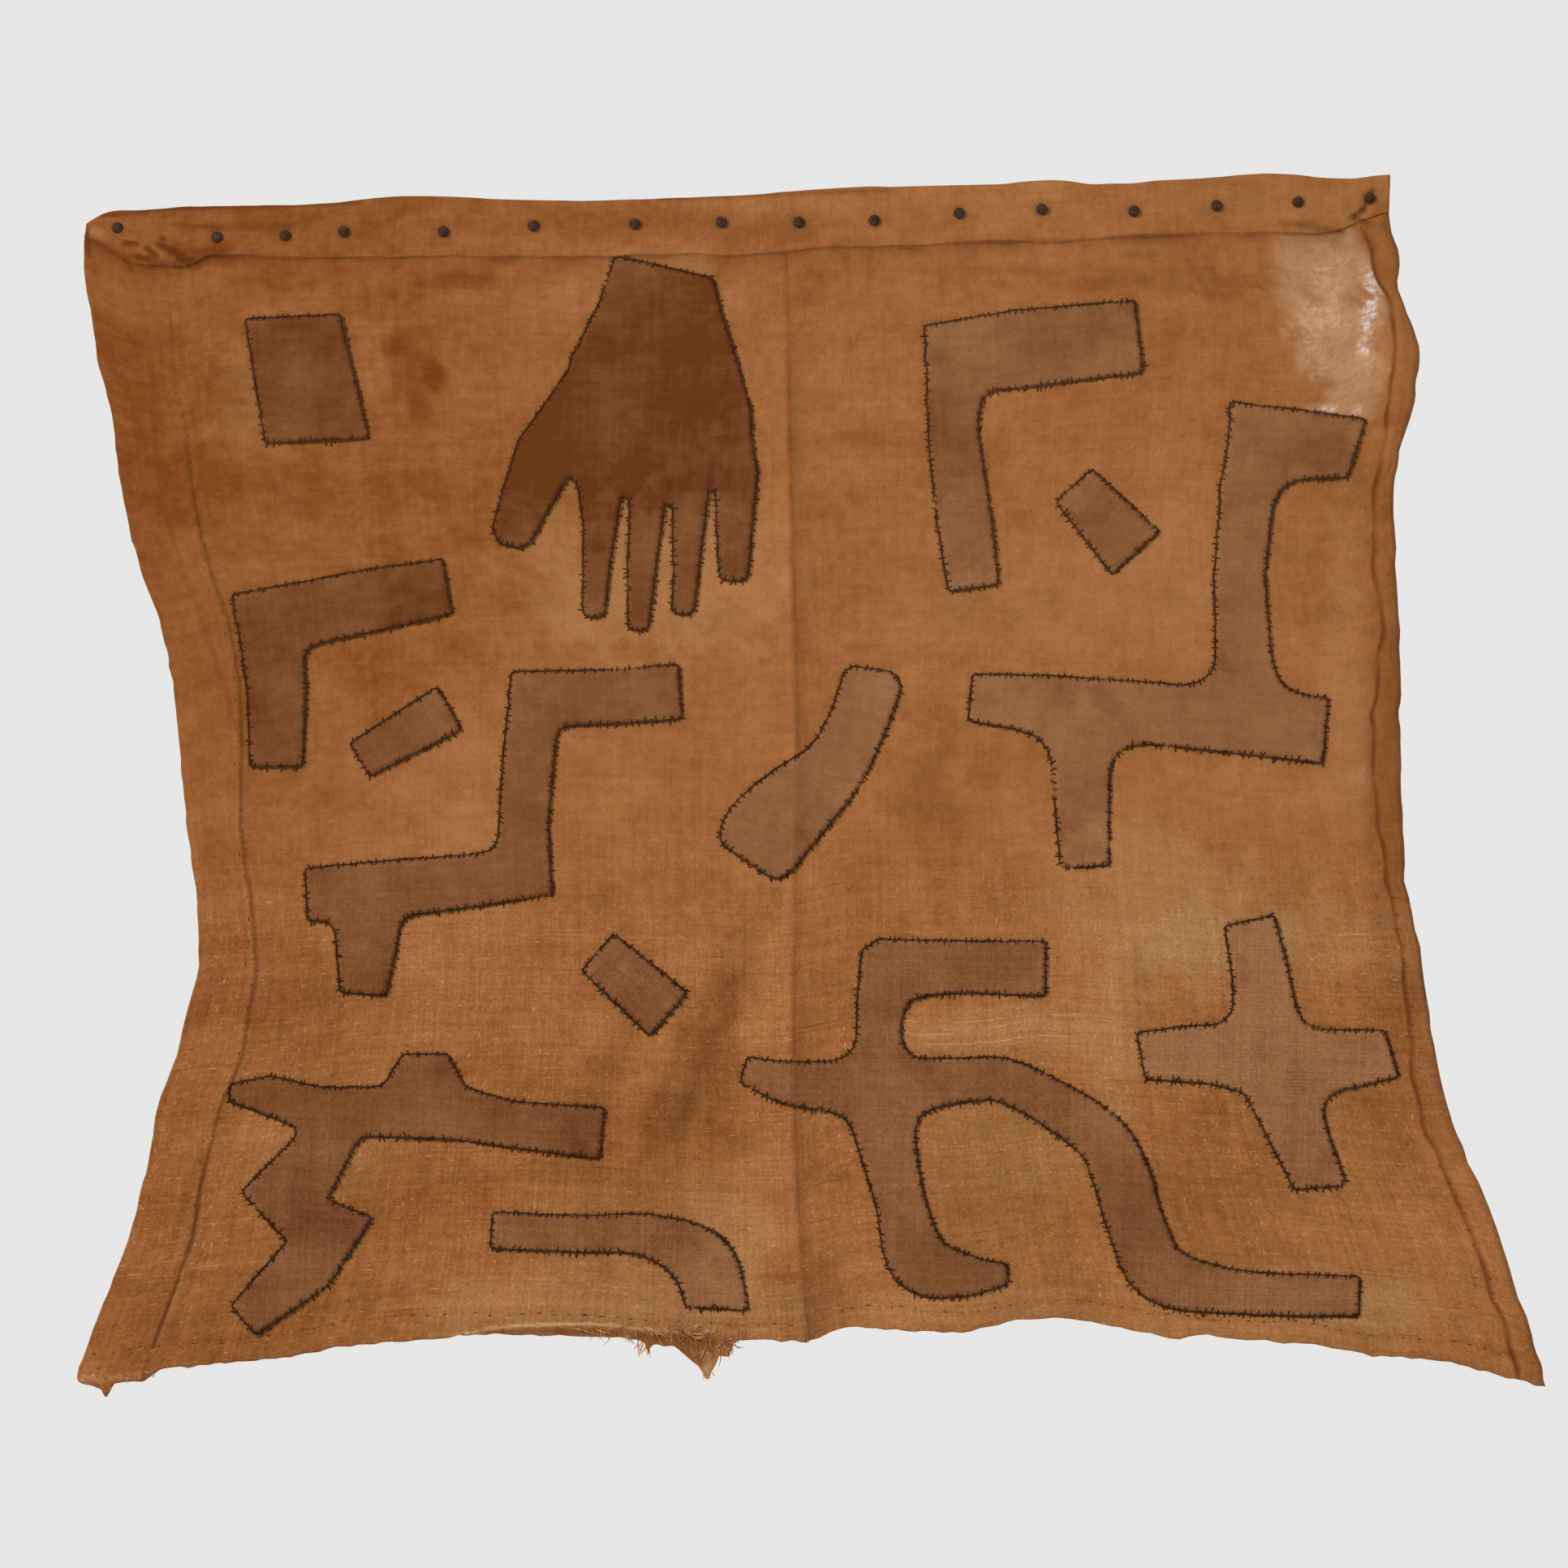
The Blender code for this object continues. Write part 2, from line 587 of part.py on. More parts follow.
def main():
    for old in list(bpy.data.objects):
        bpy.data.objects.remove(old)
    parts = bpy.data.collections.new("raffia_cloth")
    cutters = bpy.data.collections.new("cutters")
    bpy.context.scene.collection.children.link(parts)
    bpy.context.scene.collection.children.link(cutters)

    x, drop, across, down = cloth_grid()
    back = back_depth(x, drop)
    depths = (back, back + thickness(across, down))

    make_cloth(parts, cutters, (x, drop), depths, material("raffia", CLOTH_COLOUR, 0.85))
    make_patches(parts, cutters, (x, drop), depths, material("patch_raffia", PATCH_COLOUR, 0.9))
    make_tacks(parts, material("tack_metal", TACK_COLOUR, 0.5, metallic=0.8))


main()
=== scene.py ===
"""A raffia cloth hung by tacks, with its weave, sewing, stains, frayed hem and light.

Laid out as a Blender add-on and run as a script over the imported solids. +X is to the right of
someone who looks at the cloth, +Z is up and -Y comes towards them. The tables are in
millimetres: a drop is a distance below the origin, a depth is a distance in front of the wall.
"""

import functools
import math

import bmesh
import bpy
import numpy as np
from bpy.props import FloatProperty, FloatVectorProperty, IntProperty, PointerProperty
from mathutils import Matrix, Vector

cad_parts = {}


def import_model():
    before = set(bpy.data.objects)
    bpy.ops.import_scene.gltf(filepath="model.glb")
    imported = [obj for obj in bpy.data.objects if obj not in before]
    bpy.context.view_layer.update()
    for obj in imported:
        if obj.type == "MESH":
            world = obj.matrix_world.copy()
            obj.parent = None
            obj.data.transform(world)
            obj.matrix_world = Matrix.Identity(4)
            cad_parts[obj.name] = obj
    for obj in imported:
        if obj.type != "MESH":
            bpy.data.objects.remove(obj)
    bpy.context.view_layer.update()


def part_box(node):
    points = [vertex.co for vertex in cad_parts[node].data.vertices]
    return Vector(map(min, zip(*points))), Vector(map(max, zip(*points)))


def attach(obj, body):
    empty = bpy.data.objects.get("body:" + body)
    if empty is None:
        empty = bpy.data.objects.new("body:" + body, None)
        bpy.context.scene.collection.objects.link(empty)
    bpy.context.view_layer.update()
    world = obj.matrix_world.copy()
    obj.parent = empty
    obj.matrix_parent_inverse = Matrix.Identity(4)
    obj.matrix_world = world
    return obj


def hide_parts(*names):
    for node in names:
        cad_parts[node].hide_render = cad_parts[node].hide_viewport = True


bl_info = {
    "name": "Raffia Cloth",
    "version": (1, 0, 0),
    "blender": (4, 5, 0),
    "location": "3D View > Sidebar > Raffia",
    "description": "Weave, sewing, stains and light for a hung raffia cloth",
    "category": "Object",
}

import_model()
# A millimetre in metres
MM = 0.001

# Where the lines of the cloth run. Columns: drop, x
LEFT_EDGE = (
    (-4, -352), (11, -354), (26, -354), (57, -350), (79, -346), (102, -340), (143, -334),
    (185, -325), (219, -313), (264, -304), (323, -298), (381, -291), (407, -291), (433, -297),
    (459, -304), (482, -312), (514, -318), (544, -325), (570, -334), (598, -345), (629, -356),
)
RIGHT_EDGE = (
    (-23, 355), (-2, 355), (24, 360), (41, 360), (59, 368), (103, 367), (136, 358), (173, 357),
    (228, 360), (281, 360), (332, 362), (364, 363), (392, 369), (439, 376), (470, 382), (499, 390),
    (528, 403), (560, 414), (600, 427), (633, 437),
)
CREASE = ((-20, 25), (125, 28), (300, 32), (405, 30), (500, 31), (575, 35), (610, 38))
# Columns: drop, width
SIDE_HEM = (
    (0, 46), (30, 45), (120, 39), (215, 37), (266, 35), (348, 28), (395, 30), (458, 35), (522, 31),
    (560, 34), (630, 36),
)
ROLLED_HEM = (
    (0, 15), (24, 14), (40, 8), (52, 8), (64, 10), (103, 13), (136, 9), (173, 12), (228, 10),
    (281, 14), (364, 10), (439, 12), (499, 16), (540, 14), (632, 14),
)
# Columns: x, drop
TOP_EDGE = (
    (-355, 5), (-344, -2), (-323, -4), (-290, -6), (-229, -7), (-189, -11), (-95, -9), (-47, -10),
    (19, -13), (41, -15), (142, -18), (173, -20), (195, -18), (234, -20), (305, -23), (322, -21),
    (355, -23),
)
HEADING_EDGE = (
    (-354, 12), (-341, 18.5), (-330, 25), (-313, 27), (-296, 26.8), (-288, 22.4), (-278, 21.6),
    (-236, 22.6), (-153, 22), (-86, 22), (-40, 21), (22, 20), (38, 18), (99, 16), (126, 14),
    (177, 14), (207, 11), (289, 9), (326, 8), (338, 3), (355, -2),
)
BOTTOM_SEAM = (
    (-356, 617), (-306, 612), (-243, 606), (-202, 599), (-135, 595), (-80, 596), (-40, 599),
    (30, 600), (72, 591), (124, 594), (165, 588), (211, 592), (249, 597), (314, 601), (343, 607),
    (400, 612), (437, 622),
)
BOTTOM_EDGE = (
    (-356, 628), (-354, 631.4), (-346, 632), (-342, 634), (-340, 638.6), (-338.6, 639),
    (-337.6, 636), (-335, 631.4), (-319, 629.8), (-310, 624), (-243, 618), (-216, 613), (-176, 609),
    (-135, 605), (-80, 606), (-53.6, 607.4), (-49.4, 609), (-47.3, 613), (-44, 609.8),
    (-38.3, 612.2), (-32.7, 612.4), (-25.8, 618), (-20.2, 623.5), (-17.5, 628), (-15.4, 632.6),
    (-13.8, 627), (-11.2, 623.5), (-9.1, 618), (-3.6, 618.5), (-2, 611.7), (0.8, 609), (32.6, 609),
    (38, 610), (59, 601), (93, 603), (124, 604), (153, 597), (180, 597), (238, 608), (249, 605),
    (314, 611), (343, 617), (385, 620), (437, 633),
)
# Where the frayed stretch of the hem starts and ends
FRAYED = (-52, 4)
# The narrow slope from a turned-over edge down to the single cloth
STEP = 1.6
# How far left of the rolled hem the finer cells begin
BESIDE_ROLL = 34
# Waves of the lines. Columns: height, length, seed
LINE_WAVES = {
    "left": (0.6, 7, 1), "right": (0.9, 9, 2), "roll": (1.6, 15, 3), "heading": (0.5, 11, 4),
    "seam": (0.4, 15, 5), "top": (0.3, 12, 6), "bottom": (0.7, 5, 7),
}

# Cells between one line and the next, from left to right and from top to bottom, and the power
# that crowds them in one stretch
COLUMN_CELLS = (28, 2, 70, 30, 5, 5, 5, 66, 16, 2, 3, 10)
ROW_CELLS = (27, 4, 3, 138, 3, 8)
CROWDED = {2: 1.5}
# The lines that other pieces go by, by their numbers: down the cloth, then across it
SIDE_SEAM, MIDDLE, ROLL_STEP, ROLL_SEAM = 1, 6, 10, 11
HEADING_SEAM, HEM_SEAM = 2, 5
# Rounds in which x and drop settle to each other, and where the weave's flat lay is read: x, drop
SETTLING_ROUNDS = 6
FLAT_AT = (100, 300)

# Thickness where the cloth is turned over. Columns: place among the lines, thickness
SINGLE = 1.6
HEADING_TURN = ((0, 1.9), (0.33, 3.4), (1.2, 3.4), (1.5, 3.1), (1.75, 1.5), (2, 0))
SIDE_TURN = ((0, 1.8), (0.2, 2.3), (0.88, 2.3), (0.95, 2.9), (1, 2.5), (2, 0))
ROLLED_TURN = ((10, 0), (11, 1.6), (11.1, 3.2), (11.4, 4.4), (11.8, 4.2), (12, 2.4))
BOTTOM_TURN = ((4, 0), (5, 2.3), (5.4, 2.2), (6, 1.8))

# The heading ends at this place among the lines, and is at least this thick
HEADING_END = 1.6
LEAST_HEADING = 1.2
# The side hem is flatter at the top: drop where it is full, over what drop, by how much
SIDE_FLAT = (150, 60, 0.9)
# The place among the lines where the cords of the bottom hem begin
HEM_CORDS_FROM = 4.6
# The dent around each tack: its depth, and the square of its reach
TACK_DIMPLE = (0.7, 30)

# How it leans off the wall. Columns: drop where that starts, over what drop, how far
LEAN_TOP = (28, 110, 5.0)
LEAN_BOTTOM = (230, 400, 10.0)
# The crease down its middle, how steeply it falls, and what rounds its top: a number added
# under its root, and what is taken off again
CREASE_HEIGHT = 3.0
CREASE_HALF_WIDTH = 8.0
CREASE_FALL = 1.5
CREASE_ROUND = (0.02, 0.14)

# Soft unevenness. Columns: height, size, seed
CLOTH_LUMPS = ((0.9, 64, 11), (0.6, 34, 12), (0.22, 13, 16))
HEADING_LUMPS = ((0.22, 8, 15),)
PATCH_LUMPS = ((0.2, 9, 51),)
PUCKERS = ((0.30, 7, 41),)
# The same as shares: of the rolled hem's thickness, and of a stain's half-width
ROLL_LUMPS = ((0.2, 9, 13), (0.14, 24, 14))
RIM_LUMPS = ((0.45, 9, 21), (0.25, 4, 22))
# Flutes above the hem, how far they are drawn out downwards, and from what drop and over what
# drop they grow
FLUTES = ((0.6, 11, 17),)
FLUTES_DRAWN = 0.3
FLUTES_FROM = (565, 30)

# Columns: x and drop where it starts, x and drop where it ends, half-width, height at each end
FOLDS = (
    (-320, 330, -335, 640, 34, 1.0, 6.0),
    (-215, 300, -200, 640, 36, 0.0, -4.0),
    (-120, 380, -105, 620, 30, 0.0, 5.0),
    (-30, 330, -12, 640, 26, 0.0, -5.0),
    (95, 360, 110, 610, 34, 0.0, 6.0),
    (175, 400, 190, 600, 26, 0.0, -5.0),
    (262, 330, 290, 620, 38, 0.0, 5.0),
    (350, 420, 372, 620, 26, 0.0, -4.0),
    (395, 430, 430, 640, 36, 1.0, 10.0),
    (23, 411, -30, 521, 12, -3.0, -3.0),
    (-95, 398, -148, 468, 12, -2.5, -2.5),
    (111, 222, 67, 367, 20, 3.0, 2.0),
    (206, 400, 204, 470, 16, 2.5, 2.0),
    (-325, 40, -255, 150, 12, 2.5, 1.0),
    (335, 40, 285, 130, 12, 2.5, 1.0),
    (-352, 70, -348, 140, 18, 3.0, 2.0),
    (368, 70, 366, 120, 16, 3.0, 2.0),
    (-298, 300, -294, 380, 22, 3.0, 3.0),
    (360, 240, 362, 330, 18, -2.0, -2.0),
)
# Soft ripples that only the finished cloth has, with the same columns
RIPPLES = (
    (-330, 505, -150, 512, 7, 1.3, 0.6),
    (-335, 535, -170, 545, 7, 1.4, 0.6),
    (-330, 568, -150, 575, 7, 1.2, 0.6),
    (-60, 300, -20, 420, 10, 0.8, 1.0),
    (60, 120, 90, 240, 14, 0.8, 0.6),
    (230, 480, 330, 560, 9, 1.0, 0.8),
    (300, 470, 390, 590, 8, 1.0, 1.2),
    (-200, 150, -190, 260, 12, 0.8, 0.5),
    (150, 360, 260, 352, 8, 0.5, 0.6),
    (-260, 330, -160, 350, 8, 0.6, 0.4),
    (34, 350, -30, 500, 8, -2.0, -2.4),
    (14, 350, -46, 480, 8, 1.6, 2.0),
    (-56, 436, -82, 500, 8, -2.2, -2.0),
    (-32, 430, -62, 520, 7, 1.4, 1.5),
    (134, 290, 128, 350, 12, -1.4, -1.2),
    (60, 390, 40, 300, 10, 1.2, 0.8),
    (-330, 90, -312, 90, 5, -0.8, -0.8),
    (-334, 118, -310, 120, 5, -0.9, -0.8),
    (-326, 168, -300, 170, 5, -0.9, -0.7),
)
# Grooves in the heading's two crumpled corners, darkened with soil and painted shade. Columns: x
# and drop where it starts, x and drop where it ends, half-width, height at each end, half-width of
# its soil and painted shade, and their strength at each end
CRUMPLES = (
    (-349, 13, -330, 24, 2.2, -1.3, -1.2, 1.6, 1.0, 0.8),
    (-332, 14.5, -325, 15.2, 1.3, -1.2, -1.0, 1.2, 2.0, 1.5),
    (-319.5, 17.3, -314.6, 21.5, 1.4, -1.3, -1.3, 1.3, 2.2, 2.2),
    (-311.8, 11.7, -310.2, 13.1, 1.3, -1.3, -1.4, 1.3, 2.0, 2.0),
    (-313, 15.2, -303.4, 20, 1.4, -1.3, -1.3, 1.3, 1.8, 2.2),
    (-302, 21.5, -296.4, 25.5, 1.5, -1.6, -1.5, 1.8, 2.2, 2.4),
    (-295.7, 24, -292.2, 26, 1.3, -1.2, -1.0, 1.4, 1.5, 1.4),
    (-325, 22, -317.4, 23.6, 1.4, -1.3, -1.2, 1.4, 2.0, 1.8),
    (346, -15, 341, -4, 1.5, -1.1, -1.2, 1.3, 0.9, 1.0),
    (341, -4, 335, 0, 1.5, -1.2, -1.0, 1.4, 1.0, 0.9),
    (336, 0, 342, 3, 1.5, -1.0, -1.1, 1.3, 0.8, 0.9),
)
# Other creases in the turned-over heading, with the columns of the folds
HEADING_CREASES = (
    *(row[:7] for row in CRUMPLES),
    (-330, 12, -300, 19, 8.0, 1.4, 1.6),
    (-290, 15, -240, 14, 7.0, 0.6, 0.3),
    (-300, 2, -282, 5, 2.0, -0.8, -0.9),
    (-282, 5, -240, 3, 2.4, -0.8, -0.6),
    (-240, 3, -205, -5, 2.4, -0.7, -0.3),
    (-352, 2, -338, 4, 4.0, 0.7, 0.5),
    (-325, 11, -306, 15, 1.6, 1.1, 1.0),
    (-310, 14, -300, 18, 1.4, 1.2, 1.1),
    (-330, 19, -320, 21, 1.5, 1.0, 0.9),
    (-316, 24, -304, 25, 1.5, 1.1, 0.9),
    (-308, 21, -301, 23, 1.4, 1.2, 1.0),
    (-346, 6, -340, 12, 5.0, 1.0, 0.8),
    (347, -6, 344, -1, 2.2, 0.9, 0.8),
    (96, -3, 180, -6, 3.0, -0.4, -0.4),
    (-96, 12, -30, 12, 3.4, 0.4, 0.3),
    (-200, -3, -120, 0, 3.0, -0.3, -0.5),
    (200, 3, 300, -1, 4.0, -0.35, -0.3),
)
# The cord in the turned-over bottom hem. Columns: x, drop, height, paleness: a painted highlight
# along the cord
HEM_CORD = (
    (-152.7, 606.6, 0.9, 1.1), (-131, 601.4, 1.1, 1.3), (-109, 599.6, 1.1, 1.3),
    (-80, 599.2, 1.1, 1.3), (-51.5, 602, 1.1, 1.3), (-29.5, 604.6, 1.0, 1.2),
    (-13.6, 604.8, 0.6, 0.8),
)
CORD_HALF_WIDTH = 0.9


def runs(line, column, half_width):
    """The runs of a line as rows of folds, with one of its columns as the height."""
    return tuple(
        (*start[:2], *end[:2], half_width, start[column], end[column])
        for start, end in zip(line, line[1:])
    )


# The cord-like folds of the bottom hem, with the columns of the folds
HEM_CREASES = (*runs(HEM_CORD, 2, CORD_HALF_WIDTH), (-353, 629.4, -320, 627.4, 1.4, 0.9, 0.7))
# Dark lines of soil and of painted shade and shadow in creases, under edges and along folds,
# with the columns of the folds and strengths for heights
SOIL_AND_SHADE_LINES = (
    *(row[:4] + row[7:] for row in CRUMPLES),
    (-330, 24, -310, 28, 1.4, 0.5, 0.3),
    (-330.7, 24.3, -328.7, 29, 1.2, 1.2, 0.7),
    (-317, 24, -303, 26, 2.4, 0.7, 0.7),
    (-353.6, 7, -352, 19, 1.8, 1.7, 2.0),
    (-305, 4, -281, 6, 1.5, 0.8, 0.7),
    (-281, 6, -243, 5, 1.4, 0.65, 0.55),
    (-243, 5, -215, -4, 1.4, 0.5, 0.3),
    (-344, -1, -320, -3, 1.6, 1.0, 1.0),
    (-320, -4, -205, -8, 1.7, 1.0, 0.8),
    (-288, 19, -280, 21, 1.4, 0.5, 0.3),
    (-263, 18, -262, 22, 0.8, 0.6, 0.3),
    (55, 98, 55, 140, 0.9, 0.2, 0.35),
    (10, 108, 17, 108, 0.8, 0.5, 0.3),
    (35, 521, 75, 522, 1.2, 0.35, 0.25),
    (32, 350, -32, 495, 5.0, 0.10, 0.16),
    (-58, 444, -74, 478, 4.0, 0.22, 0.2),
    (-17, 606, -20, 620, 2.0, 0.1, 0.4),
    (-135, 604, -95, 603, 1.6, 0.4, 0.6),
    (-95, 603, -50, 606, 1.8, 0.6, 0.6),
    (-50, 606, -10, 609, 1.8, 0.6, 0.4),
    (-40, -10, 85, -15, 1.4, 0.7, 0.5),
    (342, 10, 350, 34, 4.0, 0.35, 0.25),
    (342, 3, 352, 5, 1.2, 0.7, 0.4),
    (296, 4, 314, 3, 1.5, 0.5, 0.5),
    (306, 5, 330, 8, 1.6, 0.6, 0.5),
    (209, 20, 262, 22, 1.0, 0.5, 0.5),
    (225, 27, 258, 28, 0.9, 0.35, 0.35),
    (125, 28, 240, 29, 1.2, 0.4, 0.3),
    (41, 31, 80, 33, 1.3, 0.35, 0.1),
    (35, 44, 85, 46, 1.6, 0.3, 0.1),
    (134, 13, 180, 13, 1.2, 0.5, 0.5),
    (205, 12, 250, 10, 1.2, 0.4, 0.3),
    (-318, 80, -312, 160, 1.6, 0.35, 0.3),
    (-310, 160, -266, 290, 1.4, 0.25, 0.35),
    (-287, 508, -293, 552, 1.4, 0.6, 0.6),
    (-293, 552, -300, 570, 1.5, 0.7, 0.7),
    (-301, 575, -314, 612, 1.4, 0.6, 0.5),
    (10, 555, 50, 555, 0.9, 0.5, 0.4),
    (10, 574, 50, 574, 0.9, 0.5, 0.4),
    (-150, 588, -142, 588, 0.8, 1.0, 1.0),
)
# Soil and painted shade along the sewn lines, the heading's edge and the crease, and soil around
# the tacks. Columns: strength, distance from the line, half-width
SEAM_SOIL_AND_SHADE = {
    "heading": (0.85, 0.9, 1.1), "middle": (0.60, 1.2, 1.5), "roll": (1.3, -0.2, 1.4),
    "side": (0.32, 0.8, 1.3), "hem": (0.22, -0.6, 1.2), "tack": (0.25, 0, 4.5),
}

# Columns: x, drop
TACKS = (
    (-336, 6), (-282, 11), (-245, 10), (-213, 8), (-159, 8), (-110, 5), (-55, 4), (-8, 3), (34, 3),
    (75, 2), (121, -2), (166, -4), (216, -3), (261, -6), (305, -8), (344, -10),
)

# How far out the falls of a stained place reach, in half-widths
BLOT_REACH = 1.5
# Stained places. Columns: x, drop, half-width, half-height, strength
STAINS = (
    (-175, 86, 14, 20, 0.55), (-186, 70, 7, 9, 0.95), (-165, 86, 8, 10, 0.95),
    (-174, 102, 8, 9, 0.7), (-30, 5, 90, 9, 0.3), (134, 320, 14, 34, 0.25), (322, 128, 20, 14, 0.6),
    (-166, 528, 34, 22, 0.2), (-222, 325, 8, 26, 0.2), (150, 366, 24, 14, 0.2),
    (-330, 600, 26, 22, 0.3), (-150, 34, 17, 5, 0.75), (-118, 62, 22, 18, 0.15),
    (-268, 230, 26, 60, 0.25), (86, 120, 46, 8, 0.3), (235, 36, 70, 5, 0.4), (-290, 20, 16, 6, 0.9),
    (-250, 430, 60, 26, 0.25), (-60, 520, 28, 60, 0.35), (120, 500, 34, 50, 0.22),
    (255, 520, 46, 40, 0.35), (360, 470, 24, 60, 0.3), (-320, 200, 14, 90, 0.3),
    (352, 300, 10, 120, 0.35), (-10, 470, 14, 70, 0.4), (40, 585, 22, 18, 0.35),
    (180, 300, 60, 20, 0.2), (110, 330, 14, 60, 0.3), (-240, 150, 40, 14, 0.25),
)
# Pale, worn places, with the same columns
WORN = (
    (140, 441, 52, 11, 0.7), (235, 378, 60, 34, 0.55), (205, 430, 16, 60, 0.6),
    (250, 392, 44, 26, 0.9), (215, 345, 30, 20, 0.5), (-14, 626, 4, 7, 1.0),
    (-60, 560, 40, 40, 0.3), (-100, 600, 60, 16, 0.5), (300, 395, 60, 20, 0.5),
    (-40, 190, 60, 40, 0.45), (322, 587, 44, 14, 0.8), (150, 500, 40, 30, 0.4),
    (-110, 165, 20, 20, 0.3), (290, -6, 60, 8, 0.15), (335, 304, 7, 6, 1.0), (-14, 630, 4, 5, 1.0),
    (-41, 42, 34, 22, 0.4), (-20, 195, 40, 34, 0.5), (-70, 205, 30, 30, 0.5),
    (240, 300, 70, 60, 0.1), (-30, 590, 70, 16, 0.6), (-110, 590, 60, 14, 0.5),
    (-5, 560, 22, 40, 0.6), (95, 590, 90, 10, 0.3), (290, 590, 90, 22, 0.3),
    (-225, 500, 50, 30, 0.2), (330, 250, 12, 80, 0.3), (-255, 96, 26, 30, 0.25),
    (130, 500, 26, 40, 0.3), (-160, 350, 60, 60, 0.15), (200, 200, 90, 40, 0.2),
    (-348, 9, 4.5, 3.6, 0.35),
)
# Places where the patches are paler, with the same columns
PALER_PATCH = ((-48, 198, 62, 42, 0.16), (-34, 262, 16, 20, 0.14))
# Pale ridges with painted highlights, and rubbed lines, with the columns of the folds
HIGHLIT_AND_RUBBED_LINES = (
    *runs(HEM_CORD, 3, CORD_HALF_WIDTH),
    (-315, 616, -300.5, 578, 0.9, 1.1, 1.1),
    (-300.5, 578, -292, 548, 0.9, 1.0, 0.6),
    (-353, 629, -320, 627, 1.3, 0.8, 0.6),
    (-16, 627, -15.2, 633, 2.0, 1.1, 1.5),
)
# Places where the crosswise strands lie open and pale, with the columns of the stains
OPEN_WEFT = (
    (140, 441, 54, 13, 0.55), (283, 470, 30, 18, 0.9), (285, 425, 22, 10, 0.7),
    (255, 465, 30, 8, 0.5), (340, 390, 14, 4, 0.7), (-290, 566, 26, 12, 0.35),
    (-60, 578, 40, 10, 0.35), (60, 590, 30, 8, 0.3), (310, 590, 40, 14, 0.3),
)
# The glazed place at the upper right, whose pale colour is partly painted sheen, with the same
# columns
GLAZED = (
    (322, 28, 24, 18, 1.0), (326, 52, 24, 20, 1.0), (330, 74, 20, 20, 1.0), (336, 92, 16, 14, 0.9),
    (303, 22, 12, 14, 0.8), (306, 44, 8, 12, 0.7), (330, 104, 14, 4, 0.7),
)
# Its painted highlights: bright specks and a streak of painted reflection, with the same columns
GLINTS = (
    (345.5, 37, 4.2, 8, 0.95), (344.2, 48, 4.4, 8, 1.0), (342.4, 61, 4.2, 8, 0.9),
    (341, 71, 3.8, 6, 0.85), (327, 105, 14, 1.0, 0.9), (322, 36, 9, 10, 0.45),
    (320, 56, 10, 10, 0.5), (312, 60, 9, 14, 0.4), (332, 24, 8, 4, 0.3), (350, 58, 2.2, 4, 0.5),
    (316, 84, 8, 6, 0.3),
)

# Painted numbers that the back of the cloth doesn't have
FRONT_ONLY = ("glazed", "glinting")

# Loose strands. Columns: x and drop of the roots, half-width, count, length, lean, spread
FRAYS = (
    (-78, 604, 10, 12, 6, 60, 35),
    (-62, 606, 8, 14, 6, 40, 40),
    (-52, 611, 2, 9, 6, -20, 20),
    (-47.5, 611, 1.5, 16, 7, 5, 6),
    (-66, 603, 14, 22, 8, 75, 25),
    (-36, 605, 12, 34, 9, 60, 50),
    (-20, 607, 9, 44, 9, 20, 70),
    (-14, 615, 6, 22, 8, 0, 60),
    (-15, 626, 2.5, 14, 5, -5, 14),
    (-5, 610, 4, 34, 8, -15, 45),
    (3, 606, 3, 12, 5, -45, 30),
    (38, 608, 3, 5, 3, -20, 40),
    (-339, 634, 2, 8, 3, 0, 25),
    (-322, 627, 8, 10, 4, 60, 50),
    (352, 416, 3, 6, 6, 80, 12),
)

# Thick places of the thread along the patches' edges, with the columns of the folds
KNOTS = (
    (-11.5, 549.5, -3.5, 554.5, 2.2, 2.4, 2.4),
    (-262, 604, -254, 602, 2.0, 0.9, 0.9),
    (-44, 551, -30, 556, 2.0, 0.5, 0.5),
)

# Steps between two stations of a curved strip, the size of a patch's cells, and how much of its
# edge is turned under
CURVE_STEPS = 6
PATCH_PITCH = 1.5
TURNED_UNDER = 2.0
# Under a patch: the room to the cloth. Its face: the lift and radius of its edge, and the
# height, distance from the edge and half-width of the ridge over the turned-under edge
UNDER_PATCH = 0.05
PATCH_LIFT = 0.1
PATCH_EDGE = 1.1
PATCH_RIDGE = (0.25, 2.4, 1.8)
# The groove that the sewing pulls into the cloth, its depth and reach, and the puckers' reach
GROOVE = (0.20, 2.5)
PUCKER_REACH = 10

# The thread along a patch's edge: how far off the edge it lies and how thick it is, as a mean,
# the height of a wave, its length and seed; short lumps as height, length and seed; and where it
# goes into the cloth, as the lowest of a wave, the rise after it, length and seed
EDGE_PITCH = 1.5
EDGE_OFF = (0.15, 0.3, 6, 60)
EDGE_SWELL = (1, 0.35, 14, 80)
EDGE_LUMPS = (0.25, 4, 99)
EDGE_SUNK = (-0.95, 0.2, 13, 120)
# A whip stitch. Columns: share of its length, how far sunk, share of its bend, of its radius
WHIP_STITCH = (
    (0, 0.9, 0, 0.6), (0.15, 0.1, 0.5, 0.9), (0.35, 0, 0.9, 1), (0.5, 0, 1, 1),
    (0.65, 0, 0.9, 1), (0.85, 0.1, 0.5, 0.9), (1, 0.9, 0, 0.6),
)
# Its chance measures, each between two numbers: how far it is shifted along the edge, how far it
# goes in and out from there, and its width as a share of the thread's
WHIP_SHIFT = (-1.3, 1.3)
WHIP_INSIDE = (1.3, 3.2)
WHIP_OUTSIDE = (1.1, 2.8)
WHIP_WIDTH = (0.65, 1.0)
# Its lean in degrees and its bend, each as a mean and a spread
WHIP_LEAN = (12, 25)
WHIP_BEND = (0, 0.5)
# How thick a loose strand is on its way from root to tip, as a share
STRAND_TAPER = (1.0, 1.0, 0.95, 0.9, 0.85, 0.75, 0.55, 0.2)

# A tack: its head's rim and dome, its pin's radius, and the depth and size of its dents
TACK_RIM = 0.5
TACK_DOME = 1.4
TACK_PIN = 0.6
TACK_DENTS = (0.12, 1.7)

